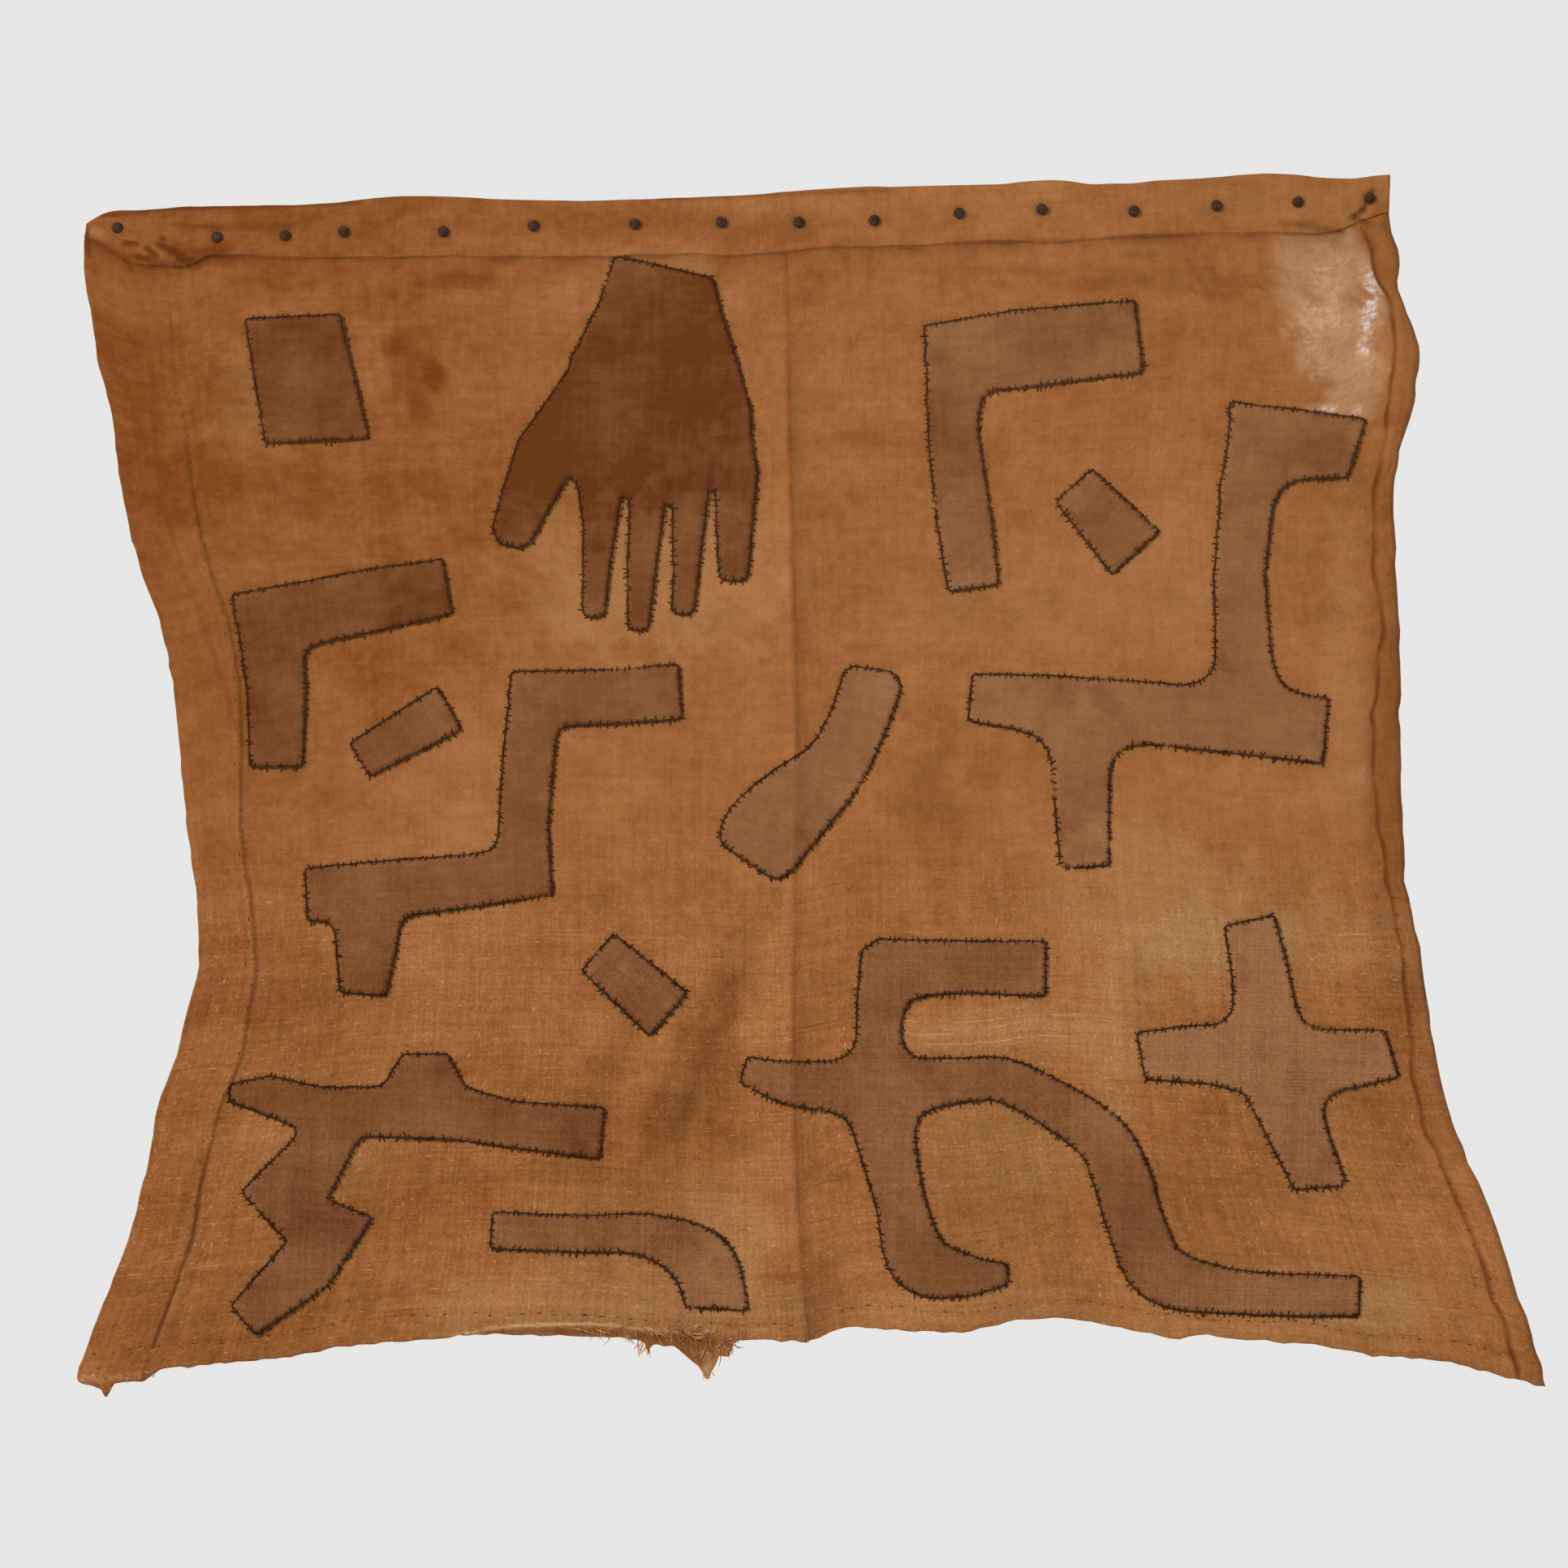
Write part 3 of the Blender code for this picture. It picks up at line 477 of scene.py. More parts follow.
# Layers of noise over the weave. Columns: how many to a metre across and down, strength
RAFFIA_DRIFT = ((9, 9, 0.8), (24, 40, 0.7), (60, 55, 0.5), (160, 190, 0.6))
PATCH_DRIFT = ((9, 11, 0.9), (24, 30, 0.6), (300, 16, 0.25), (36, 420, 0.2), (130, 160, 0.35))

# Where the camera and lights aim, and how far in front of the wall the camera's distance
# starts, in metres
AIM = (0.026, 0.0, -0.308)
CLOTH_FRONT = 0.008
# Columns: name, place from where it aims and size in metres, its power as a property of the
# stage and a share of that, colour
LIGHTS = (
    ("key", (-1.9, -1.9, 1.2), 0.9, ("key_light", 1), (1.0, 0.97, 0.94)),
    ("fill", (1.0, -2.3, 0.6), 0.4, ("fill_light", 1), (0.94, 0.97, 1.0)),
    ("rear", (0.8, 2.4, 0.9), 1.6, ("key_light", 1 / 3), (1.0, 1.0, 1.0)),
)
# How far below the origin the floor lies, and half its width, in metres
FLOOR_DROP = 1.3
FLOOR_REACH = 2.0


def strip(*stations, cuts=(0, 0), curved=False):
    """One strip of a patch. A station is x, drop and width; cuts turn its two ends, in degrees."""
    return {"stations": np.array(stations, float), "cuts": cuts, "curved": curved}


# For each patch: radius of its corners, size of the rounding where strips meet, how pale it is,
# the turn of its weave in degrees, and its strips
PATCHES = {
    "patch_square": (2, 1, 0.14, 3, (strip((-241, 54, 52), (-227, 122, 57), cuts=(9, 9)),)),
    "patch_hand": (4, 5, 0.02, 1, (
        strip((-39, 27, 57), (-41, 51, 68), (-44, 80, 92), (-44, 112, 106), (-37.2, 142, 97),
              cuts=(8, -4)),
        strip((-3, 116, 22), (0.5, 140, 23), (-1, 170, 20), (-1, 198, 16)),
        strip((-24, 122, 20.5), (-24, 140, 20.5), (-26, 173, 17), (-27, 194, 14), (-29, 216, 13)),
        strip((-47.3, 132, 22.5), (-47.3, 140, 22.5), (-49, 168, 18), (-51, 190, 16),
              (-53, 225, 12)),
        strip((-73, 135, 26), (-74, 170, 18), (-76, 196, 14), (-77, 218, 13)),
        strip((-75, 97, 42), (-104, 131, 34), (-115, 157, 27), (-121, 172, 23), (-123, 179, 16)),
    )),
    "patch_angle_right": (2, 14, 0.62, -4, (
        strip((219, 65, 40), (153, 72, 43), (104, 78, 38)),
        strip((118, 80, 29), (118, 120, 28), (124, 166, 30), (129, 202, 28)),
    )),
    "patch_oblong_right": (2, 1, 0.6, 40, (strip((183, 146, 27), (217, 183, 35)),)),
    "patch_branch_right": (2, 22, 0.72, 3, (
        strip((337, 126, 34), (307, 124, 37), (269, 121, 40), cuts=(14, 0)),
        strip((285, 110, 33), (277, 154, 29), (273, 196, 28), (275, 234, 30), (279, 279, 34)),
        strip((127, 261, 26), (167, 265, 32), (240, 271, 34), (320, 279, 36)),
        strip((188, 272, 34), (187, 300, 31), (189, 353, 27)),
    )),
    "patch_angle_left": (2, 10, 0.18, -7, (
        strip((-156, 201, 31), (-195, 208, 34), (-270, 223, 36)),
        strip((-253, 217, 36), (-249, 257, 32), (-249, 299, 29)),
    )),
    "patch_oblong_left": (2, 1, 0.22, -30, (strip((-204, 295, 22), (-155, 267, 27)),)),
    "patch_stepped": (2, 10, 0.34, -3, (
        strip((-30, 258, 30), (-67, 261, 30), (-122, 262, 30)),
        strip((-109, 262, 28), (-113, 300, 28), (-115, 331, 27), (-116, 362, 32)),
        strip((-101, 355, 27), (-148, 361, 29), (-189, 365, 31), (-233, 368, 29)),
        strip((-199, 370, 38), (-200, 396, 33), (-202, 422, 26)),
    )),
    "patch_boot": (9, 6, 0.74, 8, (
        strip((76, 246, 33), (66, 275, 32), (53, 299, 35), (31, 320, 44), (19, 332, 47),
              (12, 341, 46), (8, 348, 38), cuts=(-8, 0), curved=True),
    )),
    "patch_oblong_middle": (2, 1, 0.45, 38, (strip((-75, 399, 27), (-36, 433, 31)),)),
    "patch_branch_left": (2, 8, 0.40, 3, (
        strip((-274, 475, 10), (-254, 476, 21), (-225, 485, 26), (-150, 486, 29),
              (-121, 492, 25), (-72, 497, 28)),
        strip((-169, 477, 46), (-168, 464, 36), (-168, 454, 26)),
        strip((-210, 487, 24), (-244, 531, 46), (-219, 550, 46), (-232, 568, 33),
              (-266, 598, 22)),
    )),
    "patch_bent": (2, 4, 0.62, 2, (
        strip((-132, 549, 20), (-87, 551, 20), (-48, 552, 23), (-19, 566, 34), (-9, 592, 33),
              cuts=(0, 20), curved=True),
    )),
    "patch_branch_middle": (2, 17, 0.56, 1, (
        strip((168, 408, 30), (126, 407, 28), (78, 408, 32)),
        strip((82, 400, 28), (78, 425, 25), (77, 455, 24), (80, 475, 28)),
        strip((4, 463, 15), (32, 470, 24), (80, 472, 30), (124, 468, 24), (150, 470, 24),
              (194, 496, 28), (208, 519, 31), (217, 548, 31), (231, 573, 32), (270, 582, 24),
              (337, 585, 22), curved=True),
        strip((78, 475, 36), (81, 499, 32), (89, 534, 27), (99, 565, 33), (122, 573, 24),
              (147, 573, 12), curved=True),
    )),
    "patch_cross": (2, 16, 1.0, 2, (
        strip((278, 382, 28), (284, 411, 31), (289, 455, 38), (298, 481, 36), (305, 500, 31),
              (316, 526, 29), cuts=(0, 18)),
        strip((219, 455, 26), (249, 454, 31), (287, 457, 36), (322, 458, 34), (355, 454, 27),
              cuts=(-8, -10)),
    )),
}


def smooth(table, at):
    """The second column of a table at any value of the first: a cubic through its rows, whose
    slope at each row is the mean of the slopes on its two sides."""
    knots, values = np.array(table, float).T
    slopes = np.gradient(values, knots)
    at = np.clip(at, knots[0], knots[-1])
    i = np.clip(np.searchsorted(knots, at, side="right") - 1, 0, len(knots) - 2)
    span = knots[i + 1] - knots[i]
    t = (at - knots[i]) / span
    rise = t * t * (3 - 2 * t)
    pull = t * (1 - t) ** 2 * span * slopes[i] + t * t * (t - 1) * span * slopes[i + 1]
    return values[i] * (1 - rise) + values[i + 1] * rise + pull


def ease(value):
    """0 below 0, 1 above 1, and three squares less two cubes between."""
    t = np.clip(value, 0, 1)
    return t * t * (3 - 2 * t)


def cloud(x, y, size, seed):
    """Soft noise from -1 to 1: random numbers on a square lattice, eased from one to the next."""
    count = 64
    lattice = np.random.default_rng(seed).uniform(-1, 1, (count, count))
    column, row = np.floor(x / size).astype(int), np.floor(y / size).astype(int)
    across, down = ease(x / size - column), ease(y / size - row)

    def pick(i, j):
        return lattice[(column + i) % count, (row + j) % count]

    upper = pick(0, 0) * (1 - across) + pick(1, 0) * across
    lower = pick(0, 1) * (1 - across) + pick(1, 1) * across
    return upper * (1 - down) + lower * down


def lumps(table, x, drop):
    """The sum of a table's soft noises, each times its height."""
    return sum(height * cloud(x, drop, size, seed) for height, size, seed in table)


def wave(at, size, seed):
    """Soft noise from -1 to 1 along a line."""
    return cloud(at, at * 0, size, seed)


def waved(name, line, at):
    """A line of the cloth with its slight waves."""
    height, size, seed = LINE_WAVES[name]
    return line + height * wave(at, size, seed)


def column_lines(drop):
    """The lines that run down the cloth, from left to right."""
    left = waved("left", smooth(LEFT_EDGE, drop), drop)
    right = waved("right", smooth(RIGHT_EDGE, drop), drop)
    side_seam = left + smooth(SIDE_HEM, drop)
    rolled = waved("roll", right - smooth(ROLLED_HEM, drop), drop)
    crease = smooth(CREASE, drop)
    same = np.zeros_like(drop)
    return np.array([
        left, side_seam, side_seam + STEP, same + FRAYED[0], same + FRAYED[1],
        crease - CREASE_HALF_WIDTH, crease, crease + CREASE_HALF_WIDTH,
        rolled - BESIDE_ROLL, rolled - 2 * STEP, rolled - STEP, rolled, right,
    ])


def row_lines(x):
    """The lines that run across the cloth, from top to bottom."""
    heading = waved("heading", smooth(HEADING_EDGE, x), x)
    seam = waved("seam", smooth(BOTTOM_SEAM, x), x)
    top = waved("top", smooth(TOP_EDGE, x), x)
    bottom = waved("bottom", np.interp(x, *np.array(BOTTOM_EDGE, float).T), x)
    return np.array([top, heading - STEP, heading, heading + STEP, seam - STEP, seam, bottom])


def beside(lines, low):
    """The lines on the two sides of each place, by the number of the lower one."""
    return [np.take_along_axis(lines, low[None] + i, axis=0)[0] for i in (0, 1)]


def between(lines, place):
    """A value on the way from one line to the next. Place 2.5 is halfway from line 2 to 3."""
    low = np.minimum(place.astype(int), len(lines) - 2)
    below, above = beside(lines, low)
    return below + (above - below) * (place - low)


def place_of(lines, value):
    """The place of a value among the lines, the reverse of between."""
    low = np.clip((lines <= value).sum(axis=0) - 1, 0, len(lines) - 2)
    below, above = beside(lines, low)
    return low + np.clip((value - below) / (above - below), 0, 1)


def places(cells, crowded):
    """The place of each grid line, counted in lines of the cloth. A power over 1 crowds the
    grid lines towards the start of one stretch."""
    steps = [
        line + (np.arange(count) / count) ** crowded.get(line, 1)
        for line, count in enumerate(cells)
    ]
    return np.append(np.concatenate(steps), len(cells))


def bells(table, x, drop):
    """The sum of long soft ridges: each one's height, shared out along its line, times a bell
    curve of the distance from that line."""
    push = np.zeros_like(x)
    for x_a, drop_a, x_b, drop_b, half_width, height_a, height_b in table:
        run = np.array([x_b - x_a, drop_b - drop_a])
        length = np.hypot(*run)
        along = ((x - x_a) * run[0] + (drop - drop_a) * run[1]) / length
        across = ((x - x_a) * run[1] - (drop - drop_a) * run[0]) / length
        beyond = np.maximum(np.maximum(-along, along - length), 0)
        height = height_a + (height_b - height_a) * np.clip(along / length, 0, 1)
        push += height * np.exp(-(across**2 + beyond**2) / half_width**2)
    return push


def blots(table, x, drop):
    """How strongly each point lies in the places of a table, from 0 to 1: the strongest of
    their round falls, with an uneven rim."""
    rim = lumps(RIM_LUMPS, x, drop)
    inside = np.zeros_like(x)
    for x_0, drop_0, half_width, half_height, strength in table:
        away = np.hypot((x - x_0) / half_width, (drop - drop_0) / half_height)
        inside = np.maximum(inside, strength * ease(BLOT_REACH - away + rim))
    return inside


def strip_outline(piece, inset):
    """The corners of one strip: its stations' two sides, made smaller all round by the inset."""
    stations = piece["stations"].copy()
    for end, next_to in ((0, 1), (-1, -2)):
        inwards = stations[next_to, :2] - stations[end, :2]
        stations[end, :2] += inwards * inset / np.hypot(*inwards)
    if piece["curved"]:
        count = len(stations)
        fine = np.linspace(0, count - 1, CURVE_STEPS * (count - 1) + 1)
        columns = [smooth(np.column_stack([np.arange(count), c]), fine) for c in stations.T]
        stations = np.column_stack(columns)
    middle, width = stations[:, :2], stations[:, 2]
    along = np.gradient(middle, axis=0)
    heading = np.arctan2(along[:, 1], along[:, 0])
    heading[[0, -1]] += np.radians(piece["cuts"])
    side = np.column_stack([-np.sin(heading), np.cos(heading)]) * (width / 2 - inset)[:, None]
    return np.concatenate([middle + side, (middle - side)[::-1]])


def distance(corners, x, drop):
    """Distance to a closed outline, negative inside it: the nearest of its straight runs, and a
    count of the runs that a level line to the right crosses."""
    nearest = np.full(x.shape, np.inf)
    crossings = np.zeros(x.shape, int)
    for (x_a, drop_a), (x_b, drop_b) in zip(corners, np.roll(corners, -1, axis=0)):
        run_x, run_drop = x_b - x_a, drop_b - drop_a
        share = ((x - x_a) * run_x + (drop - drop_a) * run_drop) / (run_x**2 + run_drop**2)
        share = np.clip(share, 0, 1)
        away = np.hypot(x - x_a - share * run_x, drop - drop_a - share * run_drop)
        nearest = np.minimum(nearest, away)
        if run_drop:
            level = (drop_a <= drop) != (drop_b <= drop)
            crossings += level & (x < x_a + (drop - drop_a) * run_x / run_drop)
    return np.where(crossings % 2 == 1, -nearest, nearest)


def patch_distance(name, x, drop):
    """Distance to a patch's edge on a square grid, negative inside. Where two strips' edges face
    apart, the smaller distance is lowered by a parabola, which rounds the join."""
    corner, join, _, _, strips = PATCHES[name]
    merged, *others = [distance(strip_outline(s, corner), x, drop) - corner for s in strips]
    for one in others:
        near = np.maximum(join - np.abs(merged - one), 0) / join
        alike = sum(a * b for a, b in zip(np.gradient(merged), np.gradient(one)))
        turn = np.clip(1 - alike / PATCH_PITCH**2, 0, 1)
        merged = np.minimum(merged, one) - turn * near**2 * join / 4
    return merged


@functools.cache
def patch_field(name):
    """x, drop and the distance to the patch's edge, on a square grid around one patch."""
    stations = np.concatenate([piece["stations"] for piece in PATCHES[name][4]])
    reach = stations[:, 2].max()
    low = stations[:, :2].min(axis=0) - reach
    high = stations[:, :2].max(axis=0) + reach
    x, drop = np.meshgrid(*(np.arange(*ends, PATCH_PITCH) for ends in zip(low, high)))
    return x, drop, patch_distance(name, x, drop)


def back_depth(x, drop):
    """How far the back of the cloth stands off the wall: it leans out towards the hem, with the
    folds, the ripples, a soft unevenness and the crease down its middle."""
    free = ease((drop - LEAN_TOP[0]) / LEAN_TOP[1])
    lean = LEAN_TOP[2] * free + LEAN_BOTTOM[2] * ease((drop - LEAN_BOTTOM[0]) / LEAN_BOTTOM[1])
    off = np.abs(x - smooth(CREASE, drop)) / CREASE_HALF_WIDTH
    under, over = CREASE_ROUND
    crease = CREASE_HEIGHT * np.exp(-CREASE_FALL * (np.sqrt(off**2 + under) - over))
    grown = ease((drop - FLUTES_FROM[0]) / FLUTES_FROM[1])
    uneven = lumps(CLOTH_LUMPS, x, drop) + lumps(FLUTES, x, drop * FLUTES_DRAWN) * grown
    return lean + free * (bells(FOLDS, x, drop) + bells(RIPPLES, x, drop) + crease + uneven)


def thickness(across, down, x, drop):
    """Single cloth, and more where it is turned over at the heading and the hems."""
    turns = ((down, HEADING_TURN), (across, SIDE_TURN), (across, ROLLED_TURN), (down, BOTTOM_TURN))
    heading, side, roll, bottom = [np.interp(p, *np.array(turn).T) for p, turn in turns]
    side -= SIDE_FLAT[2] * ease((SIDE_FLAT[0] - drop) / SIDE_FLAT[1])
    roll = roll * (1 + lumps(ROLL_LUMPS, x, drop))
    below = down >= HEADING_SEAM
    thick = np.maximum.reduce([heading, side * below, roll * below, bottom * below])
    thick = np.maximum(thick, SINGLE) + bells(HEM_CREASES, x, drop) * ease(down - HEM_CORDS_FROM)
    folded = thick + bells(HEADING_CREASES, x, drop) + lumps(HEADING_LUMPS, x, drop)
    for x_0, drop_0 in TACKS:
        away = (x - x_0) ** 2 + (drop - drop_0) ** 2
        folded -= TACK_DIMPLE[0] * np.exp(-away / TACK_DIMPLE[1])
    return np.where(down < HEADING_END, np.maximum(folded, LEAST_HEADING), thick)


def front_depth(x, drop):
    """The depth of the cloth's front at any point of it."""
    across = place_of(column_lines(drop), x)
    down = place_of(row_lines(x), drop)
    return back_depth(x, drop) + thickness(across, down, x, drop)


def patch_rise(inwards, thick):
    """How far a patch's face stands over the cloth at a distance in from its edge: a quarter
    circle at the edge, then a low ridge where it is turned under, then flat."""
    height, middle, half_width = PATCH_RIDGE
    edge = np.clip(inwards / PATCH_EDGE, 0, 1)
    ridge = height * np.exp(-((inwards - middle) / half_width) ** 2) * edge
    return PATCH_LIFT + thick * np.sqrt(1 - (1 - edge) ** 2) + ridge


def world(x, drop, depth):
    """Table millimetres to metres in the model's own axes."""
    return np.stack([x, -depth, -drop], axis=-1) * MM


def put_mesh(name, points, faces, finish, uv=None, attributes=None):
    """One finished piece from whole arrays: its points, its four-cornered faces, a UV for each
    point, and numbers for each point under their names. It rides on the cloth's one body."""
    mesh = bpy.data.meshes.new(name)
    faces = np.asarray(faces, np.int32)
    mesh.vertices.add(len(points))
    mesh.vertices.foreach_set("co", np.asarray(points, np.float32).ravel())
    mesh.loops.add(faces.size)
    mesh.loops.foreach_set("vertex_index", faces.ravel())
    mesh.polygons.add(len(faces))
    mesh.polygons.foreach_set("loop_start", np.arange(0, faces.size, 4, dtype=np.int32))
    mesh.update(calc_edges=True)
    mesh.polygons.foreach_set("use_smooth", np.ones(len(faces), bool))
    if uv is not None:
        layer = mesh.uv_layers.new(name="weave")
        layer.data.foreach_set("uv", np.asarray(uv, np.float32)[faces.ravel()].ravel())
    for key, values in (attributes or {}).items():
        painted = mesh.attributes.new(key, "FLOAT", "POINT")
        painted.data.foreach_set("value", np.asarray(values, np.float32).ravel())
    mesh.validate()
    mesh.materials.append(finish)
    made = bpy.data.objects.new(name, mesh)
    bpy.context.scene.collection.objects.link(made)
    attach(made, "root")
    return made


def grid_faces(rows, columns):
    """The four corners of each cell of a grid of points, counted row by row, seen from the front
    in the order that makes the face point forwards."""
    corner = np.arange(rows * columns).reshape(rows, columns)
    upper_left, upper_right = corner[:-1, :-1], corner[:-1, 1:]
    lower_left, lower_right = corner[1:, :-1], corner[1:, 1:]
    return np.stack([upper_left, lower_left, lower_right, upper_right], -1).reshape(-1, 4)


def rim_of(faces):
    """The directed edges that only one face has, as two columns of point numbers."""
    edges = np.concatenate([np.stack([faces[:, i], faces[:, (i + 1) % 4]], -1) for i in range(4)])
    top = faces.max() + 1
    code, back = edges[:, 0] * top + edges[:, 1], edges[:, 1] * top + edges[:, 0]
    return edges[~np.isin(code, back)]


def closed_sheet(front, back, faces):
    """Points and faces of a closed sheet: the front, the back turned round, and a wall along each
    open edge of the front."""
    count = len(front)
    rim = rim_of(faces)
    wall = np.stack([rim[:, 1], rim[:, 0], rim[:, 0] + count, rim[:, 1] + count], -1)
    return np.concatenate([front, back]), np.concatenate([faces, faces[:, ::-1] + count, wall])


def in_order(edges):
    """The start points of directed edges that form one closed line, in order around it. The
    known stretch doubles each time, by jumping ahead by its own length."""
    known = np.unique(edges[:, 0])
    if len(known) != len(edges):
        raise ValueError("the outline meets itself")
    step = np.searchsorted(known, edges[np.argsort(edges[:, 0]), 1])
    order, jump = np.array([0]), step
    while len(order) < len(known):
        order = np.concatenate([order, jump[order]])
        jump = jump[jump]
    return known[order[:len(known)]]


def even_line(points, pitch):
    """A closed line as points at an even pitch, and the length around it."""
    closed = np.vstack([points, points[:1]])
    run = np.append(0, np.cumsum(np.hypot(*np.diff(closed, axis=0).T)))
    at = np.arange(0, run[-1], run[-1] / max(8, round(run[-1] / pitch)))
    return np.column_stack([np.interp(at, run, column) for column in closed.T]), run[-1]


def outwards(line):
    """The unit directions that point out of a closed line which runs round its inside."""
    run = np.roll(line, -1, axis=0) - np.roll(line, 1, axis=0)
    run /= np.hypot(*run.T)[:, None] + 1e-9
    way = np.sign(signed_area(line))
    return np.column_stack([run[:, 1], -run[:, 0]]) * way


def signed_area(line):
    """Half the sum of the cross products of a closed line's points, each with the next."""
    ahead = np.roll(line, -1, axis=0)
    return (line[:, 0] * ahead[:, 1] - line[:, 1] * ahead[:, 0]).sum() / 2


def tubes(paths, radii, sides, closed=False):
    """Many tubes at once: around each point of each path, a ring of points at its radius, square
    to the path. A path closes on itself, or has four sides and capped ends. Returns points,
    faces, and a UV of metres along the path and share around it."""
    count, steps = paths.shape[:2]
    if closed:
        along = np.roll(paths, -1, axis=1) - np.roll(paths, 1, axis=1)
    else:
        along = np.gradient(paths, axis=1)
    along /= np.linalg.norm(along, axis=-1, keepdims=True) + 1e-12
    guide = np.where(np.abs(along[..., 1:2]) < 0.9, [0.0, 1.0, 0.0], [1.0, 0.0, 0.0])
    side = np.cross(along, guide)
    side /= np.linalg.norm(side, axis=-1, keepdims=True)
    up = np.cross(along, side)
    turn = np.arange(sides) * 2 * np.pi / sides
    ring = side[:, :, None] * np.cos(turn)[:, None] + up[:, :, None] * np.sin(turn)[:, None]
    points = paths[:, :, None] + ring * radii[:, :, None, None]
    number = np.arange(count * steps * sides).reshape(count, steps, sides)
    ahead = np.roll(number, -1, axis=1) if closed else number[:, 1:]
    here = number if closed else number[:, :-1]
    faces = np.stack([here, np.roll(here, -1, 2), np.roll(ahead, -1, 2), ahead], -1).reshape(-1, 4)
    if not closed:
        faces = np.concatenate([faces, number[:, 0, ::-1], number[:, -1]])
    length = np.linalg.norm(np.diff(paths, axis=1, prepend=paths[:, :1]), axis=-1).cumsum(axis=1)
    length = np.broadcast_to(length[:, :, None], number.shape)
    around = np.broadcast_to(np.arange(sides) / sides, number.shape)
    return points.reshape(-1, 3), faces, np.stack([length, around], -1).reshape(-1, 2)


def put_tubes(name, parts, finish):
    """Several sets of tubes as one piece: their points in a row, and their faces with their
    numbers moved on."""
    points, faces, uvs = zip(*parts)
    starts = np.cumsum([0] + [len(p) for p in points[:-1]])
    moved = [f + start for f, start in zip(faces, starts)]
    points, faces, uv = [np.concatenate(rows) for rows in (points, moved, uvs)]
    put_mesh(name, points, faces, finish, uv)


class Tone:
    """A socket of a finish. Each arithmetic operator adds one Math node."""

    def __init__(self, finish, socket):
        self.finish = finish
        self.socket = socket

    def math(self, operation, *values):
        return self.finish.math(operation, self, *values)

    def __rsub__(self, other):
        return self.finish.math("SUBTRACT", other, self)

    __add__ = __radd__ = functools.partialmethod(math, "ADD")
    __mul__ = __rmul__ = functools.partialmethod(math, "MULTIPLY")
    __sub__ = functools.partialmethod(math, "SUBTRACT")
    __truediv__ = functools.partialmethod(math, "DIVIDE")


class Finish:
    """A material whose nodes are added one call at a time."""

    def __init__(self, name, constants):
        self.material = bpy.data.materials.new(name)
        self.material.use_nodes = True
        self.tree = self.material.node_tree
        self.shader = self.tree.nodes["Principled BSDF"]
        for key, value in constants.items():
            self.shader.inputs[key].default_value = value

    @functools.cached_property
    def place(self):
        return self.node("TexCoord", output="Object")

    def node(self, kind, settings=None, values=None, output=0):
        """Any node: its settings first, then the values or links of its sockets."""
        made = self.tree.nodes.new("ShaderNode" + kind)
        for key, value in (settings or {}).items():
            setattr(made, key, value)
        for key, value in (values or {}).items():
            if isinstance(value, Tone):
                self.tree.links.new(value.socket, made.inputs[key])
            else:
                made.inputs[key].default_value = value
        return Tone(self, made.outputs[output])

    def math(self, operation, *values):
        return self.node("Math", {"operation": operation}, dict(enumerate(values)))

    def sine(self, turns):
        """The sine of a number of half turns."""
        return (turns * math.pi).math("SINE")

    def attribute(self, name):
        return self.node("Attribute", {"attribute_name": name}, output="Fac")

    def axes(self, vector):
        """The three numbers of a vector."""
        parts = self.node("SeparateXYZ", {}, {0: vector}).socket.node.outputs
        return [Tone(self, part) for part in parts]

    def point(self, x, y):
        return self.node("CombineXYZ", {}, {0: x, 1: y})

    def noise(self, at, scale, detail=2.0, rough=0.5):
        return self.node(
            "TexNoise", {}, {"Vector": at, "Scale": scale, "Detail": detail, "Roughness": rough}
        )

    def rise(self, value, low, high, bottom=0.0, top=1.0):
        """A soft rise from bottom to top while the value goes from low to high."""
        return self.node(
            "MapRange", {"interpolation_type": "SMOOTHSTEP"},
            {0: value, 1: low, 2: high, 3: bottom, 4: top},
        )

    def mix(self, share, first, second, blend="MIX"):
        """One colour over another by a share. A colour is a tone or three numbers."""
        first, second = [c if isinstance(c, Tone) else (*c, 1) for c in (first, second)]
        return self.node(
            "Mix", {"data_type": "RGBA", "blend_type": blend}, {0: share, 6: first, 7: second}, 2
        )

    def layers(self, colour, rows):
        """Colours laid over one another, each by its share."""
        for share, layer in rows:
            colour = self.mix(share, colour, layer)
        return colour

    def shaded(self, colour, shade):
        """A colour made lighter or darker by a number."""
        grey = self.node("CombineColor", {}, {0: shade, 1: shade, 2: shade})
        return self.mix(1.0, colour, grey, "MULTIPLY")

    def link(self, colour, roughness, height, depth, **others):
        """Links what varies over the surface to the shader. The depth is in metres."""
        bump = self.node("Bump", {}, {"Height": height, "Distance": depth, "Strength": 1.0})
        links = {"Base Color": colour, "Roughness": roughness, "Normal": bump}
        links.update({key.replace("_", " "): value for key, value in others.items()})
        for key, value in links.items():
            self.tree.links.new(value.socket, self.shader.inputs[key])
        return self.material


